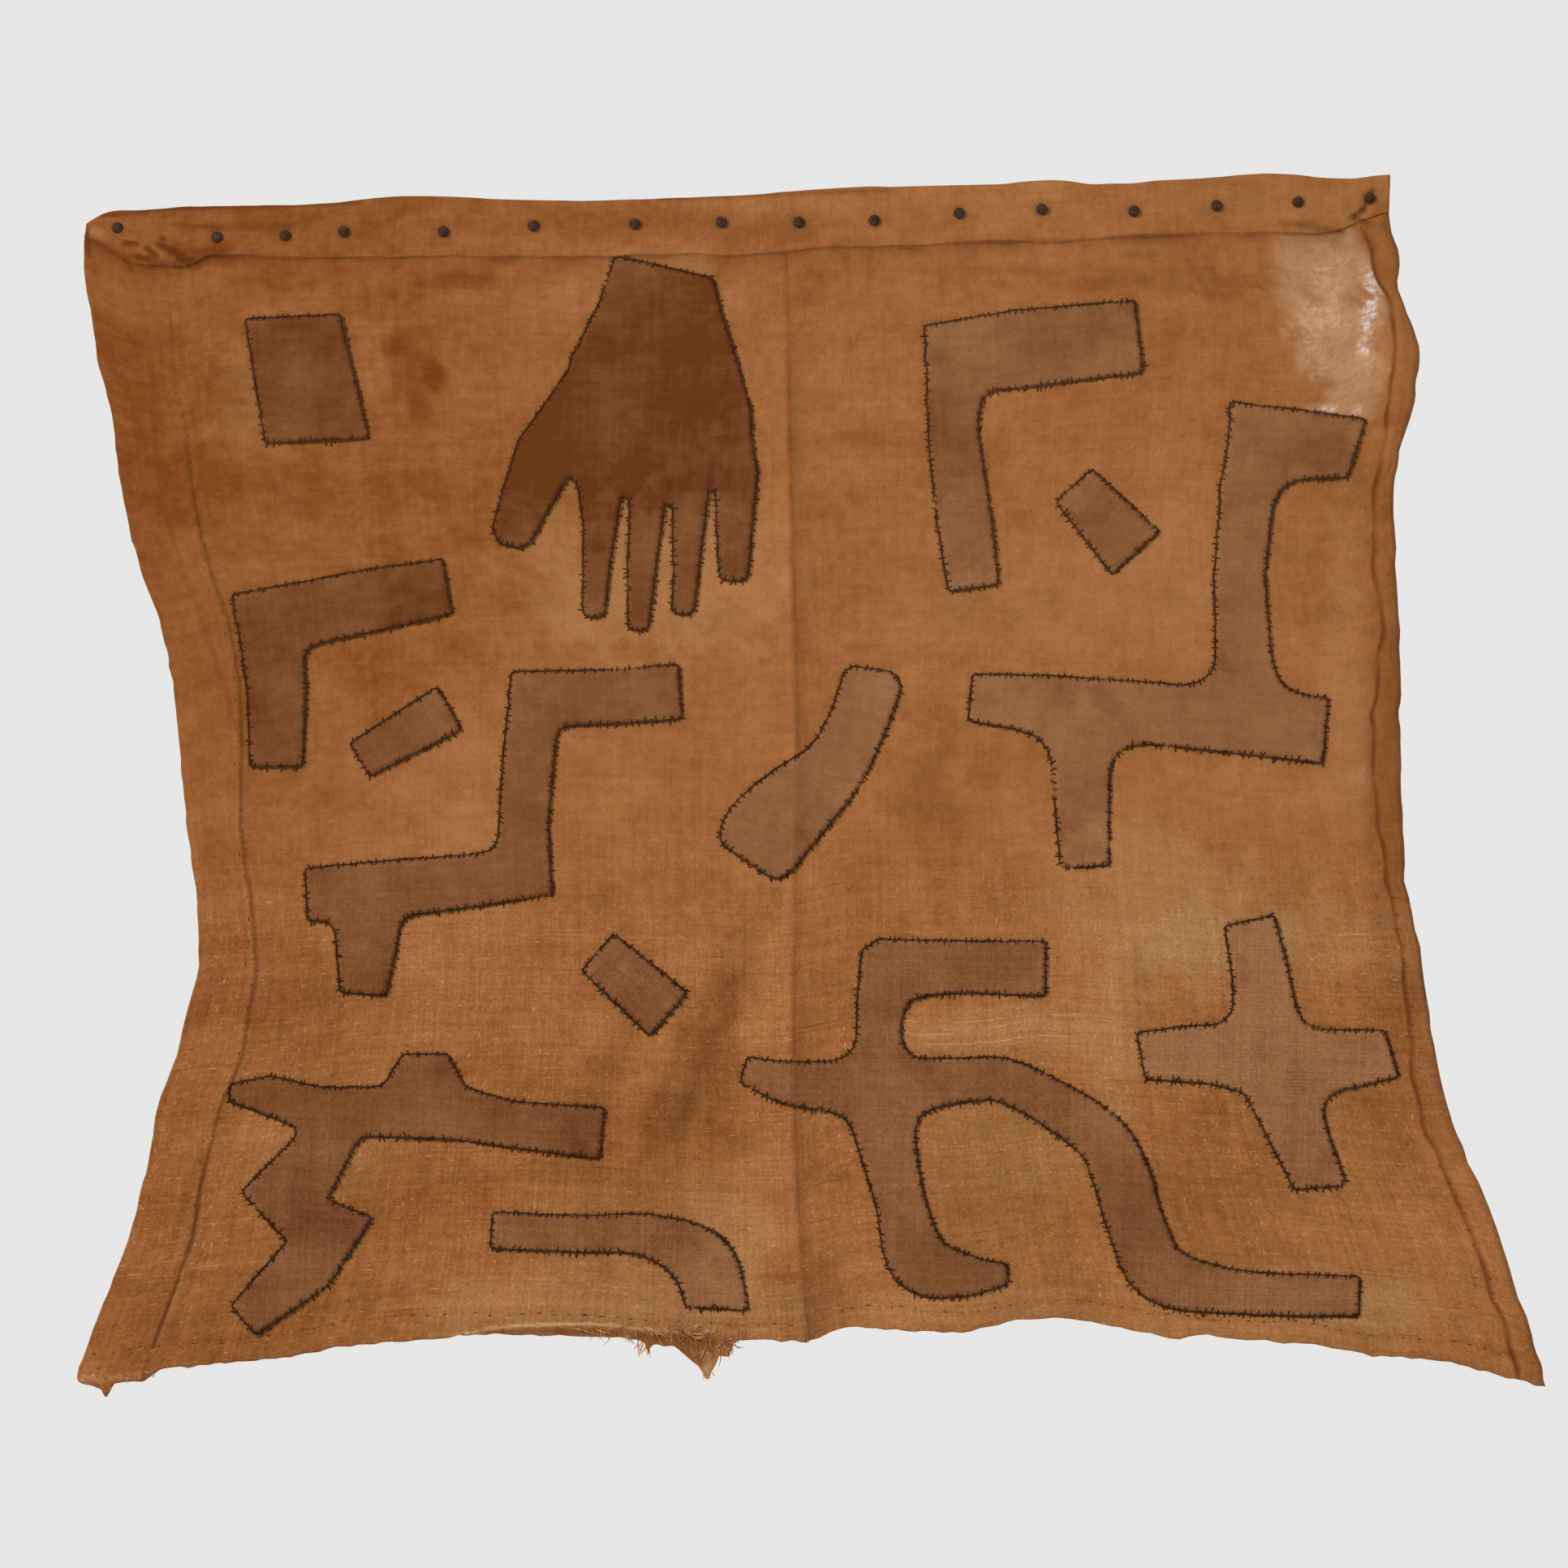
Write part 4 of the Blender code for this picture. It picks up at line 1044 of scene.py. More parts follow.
class Woven(Finish):
    """Plain-woven raffia on the UV map: each strand is a row of arches, and rises over every
    second strand that it crosses. Keeps its height, the tone of the strand on top from -0.5 to
    0.5, how strongly each crosswise strand shows, that strand's number, and how near the
    coarser foot of the cloth it is."""

    def __init__(self, name, constants, pitch):
        super().__init__(name, constants)
        self.u, self.v, _ = self.axes(self.node("UVMap", {"uv_map": "weave"}))
        sway = self.noise(self.point(self.u * 60, self.v * 60), 1.0, 1.0) * 1.6
        a, b = self.u / pitch + sway, self.v / pitch + sway
        column, self.row = a.math("FLOOR"), b.math("FLOOR")
        weft_arch = self.sine(b).math("ABSOLUTE")
        warp = self.sine(a).math("ABSOLUTE") * (0.5 + 0.5 * self.sine(b + column))
        weft = weft_arch * (0.5 - 0.5 * self.sine(a + self.row))
        warp_tone, weft_tone = [
            self.node("TexWhiteNoise", {"noise_dimensions": "1D"}, {"W": number})
            for number in (column, self.row + 900.0)
        ]
        on_top = warp.math("GREATER_THAN", weft)
        self.height = warp.math("MAXIMUM", weft)
        self.strand = weft_tone + (warp_tone - weft_tone) * on_top - 0.5
        self.weft = weft_tone * weft_arch
        self.lower = self.rise(self.axes(self.place)[2], -0.30, -0.42)

    def streaks(self, across, down, detail=2.0):
        """Noise stretched over the weave, by its patches per metre; about -0.3 to 0.3."""
        at = self.point(self.u * across, self.v * down)
        return self.noise(at, 1.0, detail, 0.6) - 0.5

    def drift(self, table):
        """The sum of a table's streaks, each times its strength."""
        rows = [self.streaks(across, down) * strength for across, down, strength in table]
        return sum(rows[1:], rows[0])

    def flecks(self, across, down, low, high):
        """Streaks where they stand out, from 0 to 1."""
        return self.rise(self.streaks(across, down), low, high)


def raffia_finish(name, look):
    """Woven raffia: tones that drift over the cloth, darker at the upper left and paler to the
    right and lower down, strands lighter and darker than their neighbours, streaks along them,
    stains, worn pale places and a glazed one with painted highlights, and painted shade in the
    weave's hollows and along the seams and creases."""
    finish = Woven(name, {"Specular IOR Level": 0.05, "Coat Roughness": 0.28}, look.strand_pitch)
    streaks, flecks, rise, lower = finish.streaks, finish.flecks, finish.rise, finish.lower
    stain, worn, glazed, soil_and_shade, open_weft, glinting = [
        finish.attribute(key)
        for key in ("stain", "worn", "glazed", "soil_and_shade", "open_weft", "glinting")
    ]
    x, _, z = finish.axes(finish.place)
    right = rise(x, -0.30, 0.10)
    pale = 0.20 + right * 0.44 + rise(z, -0.12, -0.40) * (0.30 - right * 0.2)
    pale = pale + worn * 0.25 + finish.drift(RAFFIA_DRIFT)
    pale = pale + (streaks(330, 20) + streaks(22, 440) * 0.8) * (0.35 + lower * 0.25)
    colour = finish.mix(pale, look.deep_colour, look.warm_colour)

    bleached = worn * rise(streaks(40, 60, 3.0), -0.25, 0.1, 0.5, 1.0)
    stained = stain * rise(streaks(60, 90, 3.0), -0.2, 0.12, 0.6, 1.0)
    strand_run = finish.noise(finish.point(finish.u * 22, finish.row * 0.37), 1.0, 1.0)
    drawn = finish.weft * rise(strand_run, 0.5, 0.62) * open_weft * 0.6
    slub = flecks(180, 760, 0.13, 0.23) * (0.04 + lower * 0.35 + worn * 0.3)
    bands = rise(streaks(60, 9), -0.06, 0.14, 0.15, 1.0)
    dash = flecks(700, 210, 0.12, 0.22) * (0.04 + lower * 0.5) * bands
    fleck = flecks(170, 380, 0.15, 0.24) * (0.15 + lower * 0.35)
    crack = flecks(30, 760, 0.15, 0.22) * (0.12 + lower * 0.42)
    gloss = rise(streaks(50, 70, 4.0), -0.12, 0.16)
    # Painted highlights on the glazed place: specks, and a streak of painted reflection
    reflected_streak = rise(glinting, 0.45, 0.95)
    painted_highlight = glinting * rise(streaks(210, 330, 3.0) + reflected_streak * 0.06, -0.16, 0.24)
    colour = finish.layers(colour, (
        (bleached, look.tan_colour),
        (rise(worn, 0.9, 1.3) * 0.7, look.pale_colour),
        (stained, look.stain_colour),
        (drawn, look.pale_colour),
        (slub.math("MAXIMUM", dash), look.pale_colour),
        (fleck.math("MAXIMUM", crack), look.stain_colour),
        # The glaze's paler colour, partly painted sheen
        (glazed * (0.55 + gloss * 0.3), look.glaze_and_sheen_colour),
        (painted_highlight * 0.75, finish.mix(reflected_streak, look.glint_colour, look.reflected_streak_colour)),
    ))
    # Shade: strand tones and streaks, and painted shade in the weave's hollows
    shade = 1.075 + finish.strand * (0.07 + lower * 0.15)
    shade = shade + streaks(480, 480) * (0.3 + lower * 0.5)
    shade = shade - (1 - finish.height) * (0.05 + lower * 0.08)
    # Soil and painted shade along the seams, the crease, the hems and in the heading's creases
    colour = finish.mix(soil_and_shade * 0.8, finish.shaded(colour, shade), look.soil_and_shade_colour)

    crinkle = streaks(190, 330, 4.0) * 1.3 + streaks(70, 90) * 0.9
    weave = finish.height * (0.07 + lower * 0.10) * (0.6 + streaks(90, 90) * 1.6)
    bump = weave + streaks(160, 190) * 0.6 + glazed * crinkle + streaks(520, 520) * 0.3
    roughness = 0.74 - glazed * 0.2 + finish.strand * 0.10
    return finish.link(colour, roughness, bump, 0.0011, Coat_Weight=glazed * 0.15)


def patch_finish(name, look):
    """The patches' finer raffia, from red-brown to taupe, with streaks along its strands, and
    painted shade in its weave's hollows and along its edge, where it meets the cloth.
    """
    finish = Woven(name, {
        "Specular IOR Level": 0.05, "Sheen Weight": 0.02, "Sheen Roughness": 0.45,
        "Sheen Tint": (*look.pale_patch_colour, 1.0),
    }, look.patch_pitch)
    streaks, lower = finish.streaks, finish.lower
    pale, open_weft, rim = [finish.attribute(key) for key in ("pale", "open_weft", "rim")]
    share = 0.04 + pale * 0.86 + finish.drift(PATCH_DRIFT)
    colour = finish.mix(share, look.dark_patch_colour, look.pale_patch_colour)
    reddened = finish.rise(streaks(34, 38, 4.0), 0.02, 0.16)
    drawn = finish.weft * open_weft
    colour = finish.layers(colour, (
        (reddened * 0.25, look.dark_patch_colour), (drawn * 0.9, look.tan_colour),
    ))
    # Shade: strand tones and streaks, painted shade in the weave's hollows and along the edge
    shade = 1.055 + finish.strand * (0.08 + lower * 0.16)
    shade = shade + streaks(460, 460) * (0.4 + lower * 0.4)
    shade = shade - (1 - finish.height) * (0.08 + lower * 0.14) - rim * 0.12
    bump = finish.height * (0.12 + lower * 0.08) + streaks(30, 420) * 0.4 + drawn * 0.4
    roughness = 0.76 + finish.strand * 0.1
    return finish.link(finish.shaded(colour, shade), roughness, bump, 0.0009)


def thread_finish(name, colour, light, twisted=0.3):
    """Twisted thread: stripes that wind around each tube, with painted shade in the grooves, and
    lighter where it is worn and towards the top of the cloth."""
    finish = Finish(name, {"Specular IOR Level": 0.03})
    along, around, _ = finish.axes(finish.node("UVMap", {"uv_map": "weave"}))
    twist = finish.sine((along / (0.9 * MM) + around) * 2) * 0.5 + 0.5
    worn = finish.noise(finish.place, 160.0, 3.0)
    upper = finish.rise(finish.axes(finish.place)[2], -0.36, -0.1)
    share = finish.rise(worn, 0.35, 0.75) * 0.7 + twist * twisted + upper * 0.5
    mixed = finish.mix(share, colour, light)
    return finish.link(mixed, 0.7 + worn * 0.1, twist * twisted, 0.0005)


def tack_finish(name, tacks):
    """Dull aged metal: a brown bloom over dark metal, roughest where it is brown."""
    finish = Finish(name, {"Specular IOR Level": 0.06})
    bloom = finish.rise(finish.noise(finish.place, 420.0, 4.0, 0.65), 0.38, 0.62)
    mixed = finish.mix(bloom, tacks.head_colour, tacks.bloom_colour)
    dents = finish.noise(finish.place, 900.0, 3.0)
    metallic = 0.15 - bloom * 0.15
    return finish.link(mixed, 0.55 + bloom * 0.25, dents, 0.0003, Metallic=metallic)


def colour_property(name, description, *default):
    return FloatVectorProperty(
        name=name, description=description, default=default, subtype="COLOR", min=0, max=1
    )


def length_property(name, description, default):
    return FloatProperty(name=name, description=description, default=default, unit="LENGTH")


class RaffiaLook(bpy.types.PropertyGroup):
    deep_colour: colour_property("Deep", "Raffia where it is darkest", 0.118, 0.035, 0.0045)
    warm_colour: colour_property("Warm", "Raffia where it is lightest", 0.255, 0.104, 0.033)
    tan_colour: colour_property("Tan", "Raffia where it is worn", 0.262, 0.132, 0.052)
    pale_colour: colour_property("Pale", "Bleached strands and slubs", 0.44, 0.26, 0.12)
    stain_colour: colour_property("Stain", "Stained raffia and flecks", 0.092, 0.022, 0.002)
    # Soil and painted shade along the seams, creases and hems
    soil_and_shade_colour: colour_property("Soil", "Along the sewn lines", 0.080, 0.0195, 0.0028)
    # The glazed place's colour, partly painted sheen
    glaze_and_sheen_colour: colour_property("Glaze", "The glazed place", 0.33, 0.178, 0.091)
    # Painted glints on the glazed place, and its streak of painted reflection
    glint_colour: colour_property("Glint", "Its bright specks", 0.54, 0.38, 0.22)
    reflected_streak_colour: colour_property("Wet", "Its wet-looking streak", 0.56, 0.50, 0.49)
    dark_patch_colour: colour_property("Dark patch", "Red-brown patches", 0.084, 0.0225, 0.0042)
    pale_patch_colour: colour_property("Pale patch", "Taupe patches", 0.230, 0.104, 0.044)
    strand_pitch: length_property("Strand pitch", "From one strand to the next", 1.3 * MM)
    patch_pitch: length_property("Patch strand pitch", "The same in the patches", 1.0 * MM)
    patch_thickness: length_property("Patch thickness", "Of the patches' raffia", 0.8 * MM)


class RaffiaSewing(bpy.types.PropertyGroup):
    thread_colour: colour_property("Thread", "The blackish thread", 0.019, 0.0075, 0.0032)
    thread_light: colour_property("Worn thread", "Where it is worn", 0.062, 0.028, 0.011)
    hem_colour: colour_property("Hem thread", "The hems' brown thread", 0.060, 0.021, 0.007)
    hem_light: colour_property("Worn hem thread", "Where it is worn", 0.15, 0.062, 0.022)
    strand_colour: colour_property("Loose strand", "The frayed strands", 0.25, 0.095, 0.030)
    strand_light: colour_property("Bleached strand", "Pale stretches", 0.56, 0.31, 0.15)
    thread_radius: length_property("Thread radius", "Half the thread's width", 0.42 * MM)
    stitch_pitch: length_property("Stitch pitch", "Between a patch's stitches", 3.4 * MM)
    hem_pitch: length_property("Hem stitch pitch", "Between a hem's stitches", 8.5 * MM)
    strand_radius: length_property("Strand radius", "Half a loose strand's width", 0.24 * MM)


class RaffiaTacks(bpy.types.PropertyGroup):
    head_colour: colour_property("Head", "The tacks' dark metal", 0.022, 0.012, 0.0085)
    bloom_colour: colour_property("Bloom", "The brown bloom on it", 0.046, 0.022, 0.014)
    rings: IntProperty(name="Rings", description="Rings of a tack's dome", default=7, min=3)
    sides: IntProperty(name="Sides", description="Points around a tack", default=20, min=8)


class RaffiaStage(bpy.types.PropertyGroup):
    world_colour: colour_property("World colour", "The pale surroundings", 1.0, 0.995, 0.985)
    floor_colour: colour_property("Floor colour", "The pale floor", 0.8, 0.79, 0.77)
    world_light: FloatProperty(name="World", description="Strength of the world", default=0.8)
    key_light: FloatProperty(name="Key light", description="Its power in watts", default=78)
    fill_light: FloatProperty(name="Fill light", description="Its power in watts", default=7)
    camera_distance: length_property("Camera distance", "From the cloth", 2.6)
    view_width: length_property("View width", "Of the picture, at the cloth", 0.85)


class RAFFIA_OT_cloth(bpy.types.Operator):
    """Weaves the panel: a closed sheet on a fine grid, pulled along its folds, hems and heading"""

    bl_idname = "raffia.cloth"
    bl_label = "Cloth"

    def execute(self, context):
        across, down = np.meshgrid(places(COLUMN_CELLS, CROWDED), places(ROW_CELLS, {}))
        drop = between(row_lines(np.zeros_like(down)), down)
        for _ in range(SETTLING_ROUNDS):
            x = between(column_lines(drop), across)
            drop = between(row_lines(x), down)
        back = back_depth(x, drop)
        front = back + thickness(across, down, x, drop)
        front -= self.pull(x, drop) * (down > HEADING_SEAM)
        flat_x = between(column_lines(np.full_like(drop, FLAT_AT[1])), across)
        flat_drop = between(row_lines(np.full_like(x, FLAT_AT[0])), down)
        uv = np.stack([flat_x, flat_drop], -1).reshape(-1, 2) * MM
        inside = (x < column_lines(drop)[ROLL_STEP]) & (drop > row_lines(x)[HEADING_SEAM])
        # What is painted on the cloth: stains; wear, with painted highlights on the hems' ridges;
        # open weft; the glazed place and its painted highlights; and soil with painted shade and
        # shadow
        painted = {
            "stain": blots(STAINS, x, drop),
            # Wear, with painted highlights along the hems' ridges
            "worn": blots(WORN, x, drop) + bells(HIGHLIT_AND_RUBBED_LINES, x, drop),
            "open_weft": blots(OPEN_WEFT, x, drop),
            "glazed": blots(GLAZED, x, drop) * inside,
            "glinting": blots(GLINTS, x, drop) * inside,
            "soil_and_shade": self.soil_and_shade(x, drop),
        }
        painted = {
            key: np.stack([value, value * (key not in FRONT_ONLY)])
            for key, value in painted.items()
        }
        points, faces = closed_sheet(
            world(x, drop, front).reshape(-1, 3), world(x, drop, back).reshape(-1, 3),
            grid_faces(*x.shape),
        )
        finish = raffia_finish("raffia", context.scene.raffia_look)
        uv = np.tile(uv, (2, 1))
        made = put_mesh("raffia_panel", points, faces, finish, uv, painted)
        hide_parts("cloth")
        return {"FINISHED"}

    def soil_and_shade(self, x, drop):
        """Soil and painted shade along the sewn lines, the heading's edge and the crease, and soil
        around the tacks, as bell curves of the distance from each, with soft painted shadows, and
        the soil and painted shade in the lines of the table."""
        columns, rows = column_lines(drop), row_lines(x)
        below, hem = drop - rows[HEADING_SEAM], drop - rows[HEM_SEAM]
        middle, roll, side = [x - columns[line] for line in (MIDDLE, ROLL_SEAM, SIDE_SEAM)]
        free = below > 0

        def seam(name, away):
            strength, place, half_width = SEAM_SOIL_AND_SHADE[name]
            return strength * np.exp(-(((away - place) / half_width) ** 2))

        tack = np.min([np.hypot(x - x_0, drop - drop_0) for x_0, drop_0 in TACKS], axis=0)
        lines = np.maximum.reduce([
            seam("heading", below) * (0.7 + 0.5 * cloud(x, drop, 16, 32)),
            seam("middle", middle) * free,
            seam("roll", roll) * (0.9 + 0.4 * cloud(x, drop, 8, 33)) * free,
            seam("side", side) * (0.2 + 0.8 * ease((drop - 90) / 60)),
            seam("hem", hem) * free,
            seam("tack", tack),
            # Shadows: under the heading, right of the crease, on the roll and on both hems
            0.30 * np.exp(-below / 7) * free,
            0.20 * np.exp(-middle / 16) * free * (middle > 0),
            0.30 * (roll > 0) * free * (0.3 + 0.7 * ease((560 - drop) / 200)),
            0.22 * (side < 0) * free * ease((330 - drop) / 200),
            0.30 * ease(hem / 3) * ease((-10 - x) / 20) * ease((x + 170) / 30),
        ])
        uneven = 0.8 + 0.4 * cloud(x, drop, 10, 31)
        return np.clip(lines * uneven + bells(SOIL_AND_SHADE_LINES, x, drop), 0, 1)

    def pull(self, x, drop):
        """How far the sewing pulls the cloth in: a groove along each patch's edge, with small
        puckers on both sides that die away from it."""
        pulled = np.zeros_like(x)
        for name in PATCHES:
            grid_x, grid_drop, away = patch_field(name)
            column = np.clip((x - grid_x[0, 0]) / PATCH_PITCH, 0, away.shape[1] - 1)
            row = np.clip((drop - grid_drop[0, 0]) / PATCH_PITCH, 0, away.shape[0] - 1)
            near = np.abs(away[row.astype(int), column.astype(int)])
            puckers = lumps(PUCKERS, x, drop) * np.exp(-((near / PUCKER_REACH) ** 2))
            pulled += GROOVE[0] * np.exp(-near / GROOVE[1]) + puckers
        return pulled


def patch_grid(name):
    """The flat mesh of a patch: the cells of a square grid that lie in it, with the points of
    their rim moved along the slope of the distance onto the edge. Returns x, drop, distance to
    the edge and faces, and the edge as a line in order."""
    x, drop, away = patch_field(name)
    kept = away < 0.45 * PATCH_PITCH
    cells = kept[:-1, :-1] & kept[1:, :-1] & kept[:-1, 1:] & kept[1:, 1:]
    used, faces = np.unique(grid_faces(*x.shape)[cells.ravel()], return_inverse=True)
    faces = faces.reshape(-1, 4)
    down_slope, across_slope = np.gradient(away, PATCH_PITCH)
    x, drop, away, down_slope, across_slope = [
        grid.ravel()[used] for grid in (x, drop, away, down_slope, across_slope)
    ]
    slope = np.stack([across_slope, down_slope])
    slope /= np.hypot(*slope) + 1e-9
    rim = rim_of(faces)
    on_rim = np.zeros(len(x), bool)
    on_rim[rim[:, 0]] = True
    x = np.where(on_rim, x - slope[0] * away, x)
    drop = np.where(on_rim, drop - slope[1] * away, drop)
    away = np.where(on_rim, 0, np.minimum(away, 0))
    order = in_order(rim)
    return x, drop, away, faces, np.column_stack([x[order], drop[order]])


def cut_size(line):
    """Width, length and area of a patch's cut with the edge that is turned under: the smallest
    of the rectangles that hold its outline at ninety turns, and the area in the outline."""
    turn = np.radians(np.arange(90))[:, None]
    widths = np.ptp(np.cos(turn) * line[:, 0] + np.sin(turn) * line[:, 1], axis=1)
    lengths = np.ptp(np.cos(turn) * line[:, 1] - np.sin(turn) * line[:, 0], axis=1)
    best = np.argmin(widths * lengths)
    around = np.hypot(*(np.roll(line, -1, axis=0) - line).T).sum()
    area = abs(signed_area(line)) + around * TURNED_UNDER
    width, length = widths[best] + 2 * TURNED_UNDER, lengths[best] + 2 * TURNED_UNDER
    return width * MM, length * MM, area * MM**2


class RAFFIA_OT_patches(bpy.types.Operator):
    """Cuts each patch and lays it on the cloth with its edge turned under"""

    bl_idname = "raffia.patches"
    bl_label = "Patches"

    def execute(self, context):
        look = context.scene.raffia_look
        finish = patch_finish("patch_raffia", look)
        for name, (_, _, pale, turn, _) in PATCHES.items():
            x, drop, away, faces, line = patch_grid(name)
            under = front_depth(x, drop) + UNDER_PATCH
            uneven = lumps(PATCH_LUMPS, x, drop) * ease(-away / 3)
            over = under + patch_rise(-away, look.patch_thickness / MM) + uneven
            cosine, sine = math.cos(math.radians(turn)), math.sin(math.radians(turn))
            uv = np.stack([x * cosine + drop * sine, drop * cosine - x * sine], -1) * MM
            paler = 0.3 * blots(WORN, x, drop) + blots(PALER_PATCH, x, drop)
            painted = {
                "pale": pale + paler - 0.4 * blots(STAINS, x, drop),
                # Painted shade along the patch's edge, where it meets the cloth
                "rim": np.exp(away / 1.2),
                "open_weft": blots(OPEN_WEFT, x, drop),
            }
            painted = {key: np.tile(value, 2) for key, value in painted.items()}
            points, faces = closed_sheet(world(x, drop, over), world(x, drop, under), faces)
            made = put_mesh(
                name.replace("patch_", "raffia_"), points, faces, finish,
                np.tile(uv, (2, 1)), painted,
            )
            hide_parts(name)
            width, length, area = cut_size(line)
        return {"FINISHED"}


class RAFFIA_OT_whip_stitches(bpy.types.Operator):
    """Sews each patch down: a thread along its edge and longer stitches over it"""

    bl_idname = "raffia.whip_stitches"
    bl_label = "Whip stitches"

    def execute(self, context):
        sewing = context.scene.raffia_sewing
        finish = thread_finish("dark_thread", sewing.thread_colour, sewing.thread_light)
        thick = context.scene.raffia_look.patch_thickness / MM
        for number, name in enumerate(PATCHES):
            *_, line = patch_grid(name)
            parts = (
                self.edge(line, sewing, number), self.stitches(line, sewing, thick, number)
            )
            put_tubes(name.replace("patch_", "thread_"), parts, finish)
        return {"FINISHED"}

    def edge(self, line, sewing, number):
        """The thread along a patch's edge: a line a little off it, thicker and thinner, that
        goes into the cloth here and there."""
        even, length = even_line(line, EDGE_PITCH)
        at = np.arange(len(even)) * length / len(even)
        off, swell, sunk = [
            wave(at, size, seed + number) for *_, size, seed in (EDGE_OFF, EDGE_SWELL, EDGE_SUNK)
        ]
        out = outwards(even)
        x, drop = (even + out * (EDGE_OFF[0] + EDGE_OFF[1] * off)[:, None]).T
        swell = EDGE_SWELL[0] + EDGE_SWELL[1] * swell + EDGE_LUMPS[0] * wave(at, *EDGE_LUMPS[1:])
        shown = ease((sunk - EDGE_SUNK[0]) / EDGE_SUNK[1])
        # A little thicker along lower edges, which stands in partly for the shade below them
        radius = sewing.thread_radius * np.clip(swell * (0.80 + 0.08 * out[:, 1]), 0.45, 1.2)
        radius *= 1 + bells(KNOTS, x, drop)
        path = world(x, drop, front_depth(x, drop) + 0.75 * shown - 0.7 * (1 - shown))
        return tubes(path[None], radius[None], 5, closed=True)

    def stitches(self, line, sewing, thick, number):
        """Short stitches across the edge: out of the cloth beside it, up over the edge and
        into the patch, each with its own length, lean and place."""
        dice = np.random.default_rng(200 + number)
        even, _ = even_line(line, sewing.stitch_pitch / MM)
        count = len(even)
        share, sunk, bent, thin = np.array(WHIP_STITCH).T
        out = outwards(even)
        along = np.column_stack([out[:, 1], -out[:, 0]])
        even = even + along * dice.uniform(*WHIP_SHIFT, (count, 1))
        lean = np.radians(dice.normal(*WHIP_LEAN, count))[:, None]
        way = along * np.sin(lean) - out * np.cos(lean)
        reach = 1 + 0.2 * out[:, 1:]
        inside = dice.uniform(*WHIP_INSIDE, (count, 1)) * reach
        outside = dice.uniform(*WHIP_OUTSIDE, (count, 1)) * reach
        run = -outside + (inside + outside) * share
        radius = sewing.thread_radius * dice.uniform(*WHIP_WIDTH, (count, 1))
        above = np.where(run > 0, patch_rise(run * np.cos(lean), thick), 0)
        above = above + radius / MM * 0.9 - sunk
        bend = dice.normal(*WHIP_BEND, (count, 1)) * bent
        spot = even[:, None] + way[:, None] * run[..., None] + along[:, None] * bend[..., None]
        x, drop = spot[..., 0], spot[..., 1]
        return tubes(world(x, drop, front_depth(x, drop) + above), radius * thin, 4)


class RAFFIA_OT_hem_stitches(bpy.types.Operator):
    """Sews the hems: small running stitches along the bottom hem, the side hem and the roll"""

    bl_idname = "raffia.hem_stitches"
    bl_label = "Hem stitches"

    def execute(self, context):
        sewing = context.scene.raffia_sewing
        finish = thread_finish("hem_thread", sewing.hem_colour, sewing.hem_light)
        pitch = sewing.hem_pitch / MM
        x = np.arange(-345, 430, pitch)
        drop = np.arange(370, 600, pitch)
        sparse = np.arange(60, 610, 1.4 * pitch)
        rows = (
            (x, row_lines(x)[HEM_SEAM] - 0.8, (1, 0.02), 0.8),
            (column_lines(sparse)[SIDE_SEAM] - 1.5, sparse, (0.1, 1), 0.7),
            (column_lines(drop)[ROLL_SEAM] + 1.0, drop, (1, 0.35), 0.7),
        )
        parts = [self.row(*row, sewing, 300 + i) for i, row in enumerate(rows)]
        put_tubes("thread_hems", parts, finish)
        return {"FINISHED"}

    def row(self, x, drop, way, width, sewing, seed):
        """A row of stitches: short arches that come out of the cloth and go back into it."""
        dice = np.random.default_rng(seed)
        count = len(x)
        way = np.array(way) / np.hypot(*way)
        share = np.linspace(-0.5, 0.5, 5)
        length = 2.0 * dice.uniform(0.4, 1.5, count)
        start = np.column_stack([x, drop]) + dice.normal(0, (1.4, 0.5), (count, 2))
        run = start[:, None] + (length[:, None] * share)[..., None] * way
        x, drop = run[..., 0], run[..., 1]
        lift = 0.35 - 2.6 * share**2
        radius = sewing.thread_radius * width * dice.uniform(0.6, 1.0, (count, 1)) * np.ones(5)
        return tubes(world(x, drop, front_depth(x, drop) + lift), radius, 4)


class RAFFIA_OT_frayed_strands(bpy.types.Operator):
    """Frays the hem and the corners: loose strands of raffia that curl as they leave the cloth"""

    bl_idname = "raffia.frayed_strands"
    bl_label = "Frayed strands"

    def execute(self, context):
        sewing = context.scene.raffia_sewing
        finish = thread_finish("loose_strands", sewing.strand_colour, sewing.strand_light, 0.04)
        parts = [self.tuft(*row, sewing, 400 + i) for i, row in enumerate(FRAYS)]
        put_tubes("frayed_strands", parts, finish)
        return {"FINISHED"}

    def tuft(self, x_0, drop_0, half_width, count, length, lean, spread, sewing, seed):
        """Strands from one stretch of edge: each starts in the cloth, leaves at its own angle
        from straight down, and bends on the way at a steady rate."""
        dice = np.random.default_rng(seed)
        each = (count, 1)
        share = np.linspace(0, 1, len(STRAND_TAPER))
        length = length * dice.uniform(0.5, 1.25, each)
        angle = np.radians(lean + dice.normal(0, spread, each))
        angle = angle + np.radians(dice.normal(0, 15 + spread, each)) * share
        step = length / (len(STRAND_TAPER) - 1)
        x = x_0 + dice.uniform(-half_width, half_width, each)
        drop = drop_0 + dice.uniform(-3.0, 0.5, each)
        x = x + np.cumsum(np.sin(angle) * step, axis=1) - np.sin(angle[:, :1]) * step
        drop = drop + np.cumsum(np.cos(angle) * step, axis=1) - np.cos(angle[:, :1]) * step
        root = front_depth(x[:, :1], drop[:, :1])
        depth = root + dice.uniform(-0.6, 0.8, each) + share * dice.normal(0, 1.6, each)
        radius = sewing.strand_radius * dice.uniform(0.7, 1.6, each) * STRAND_TAPER
        return tubes(world(x, drop, np.maximum(depth, 0.4)), radius, 4)


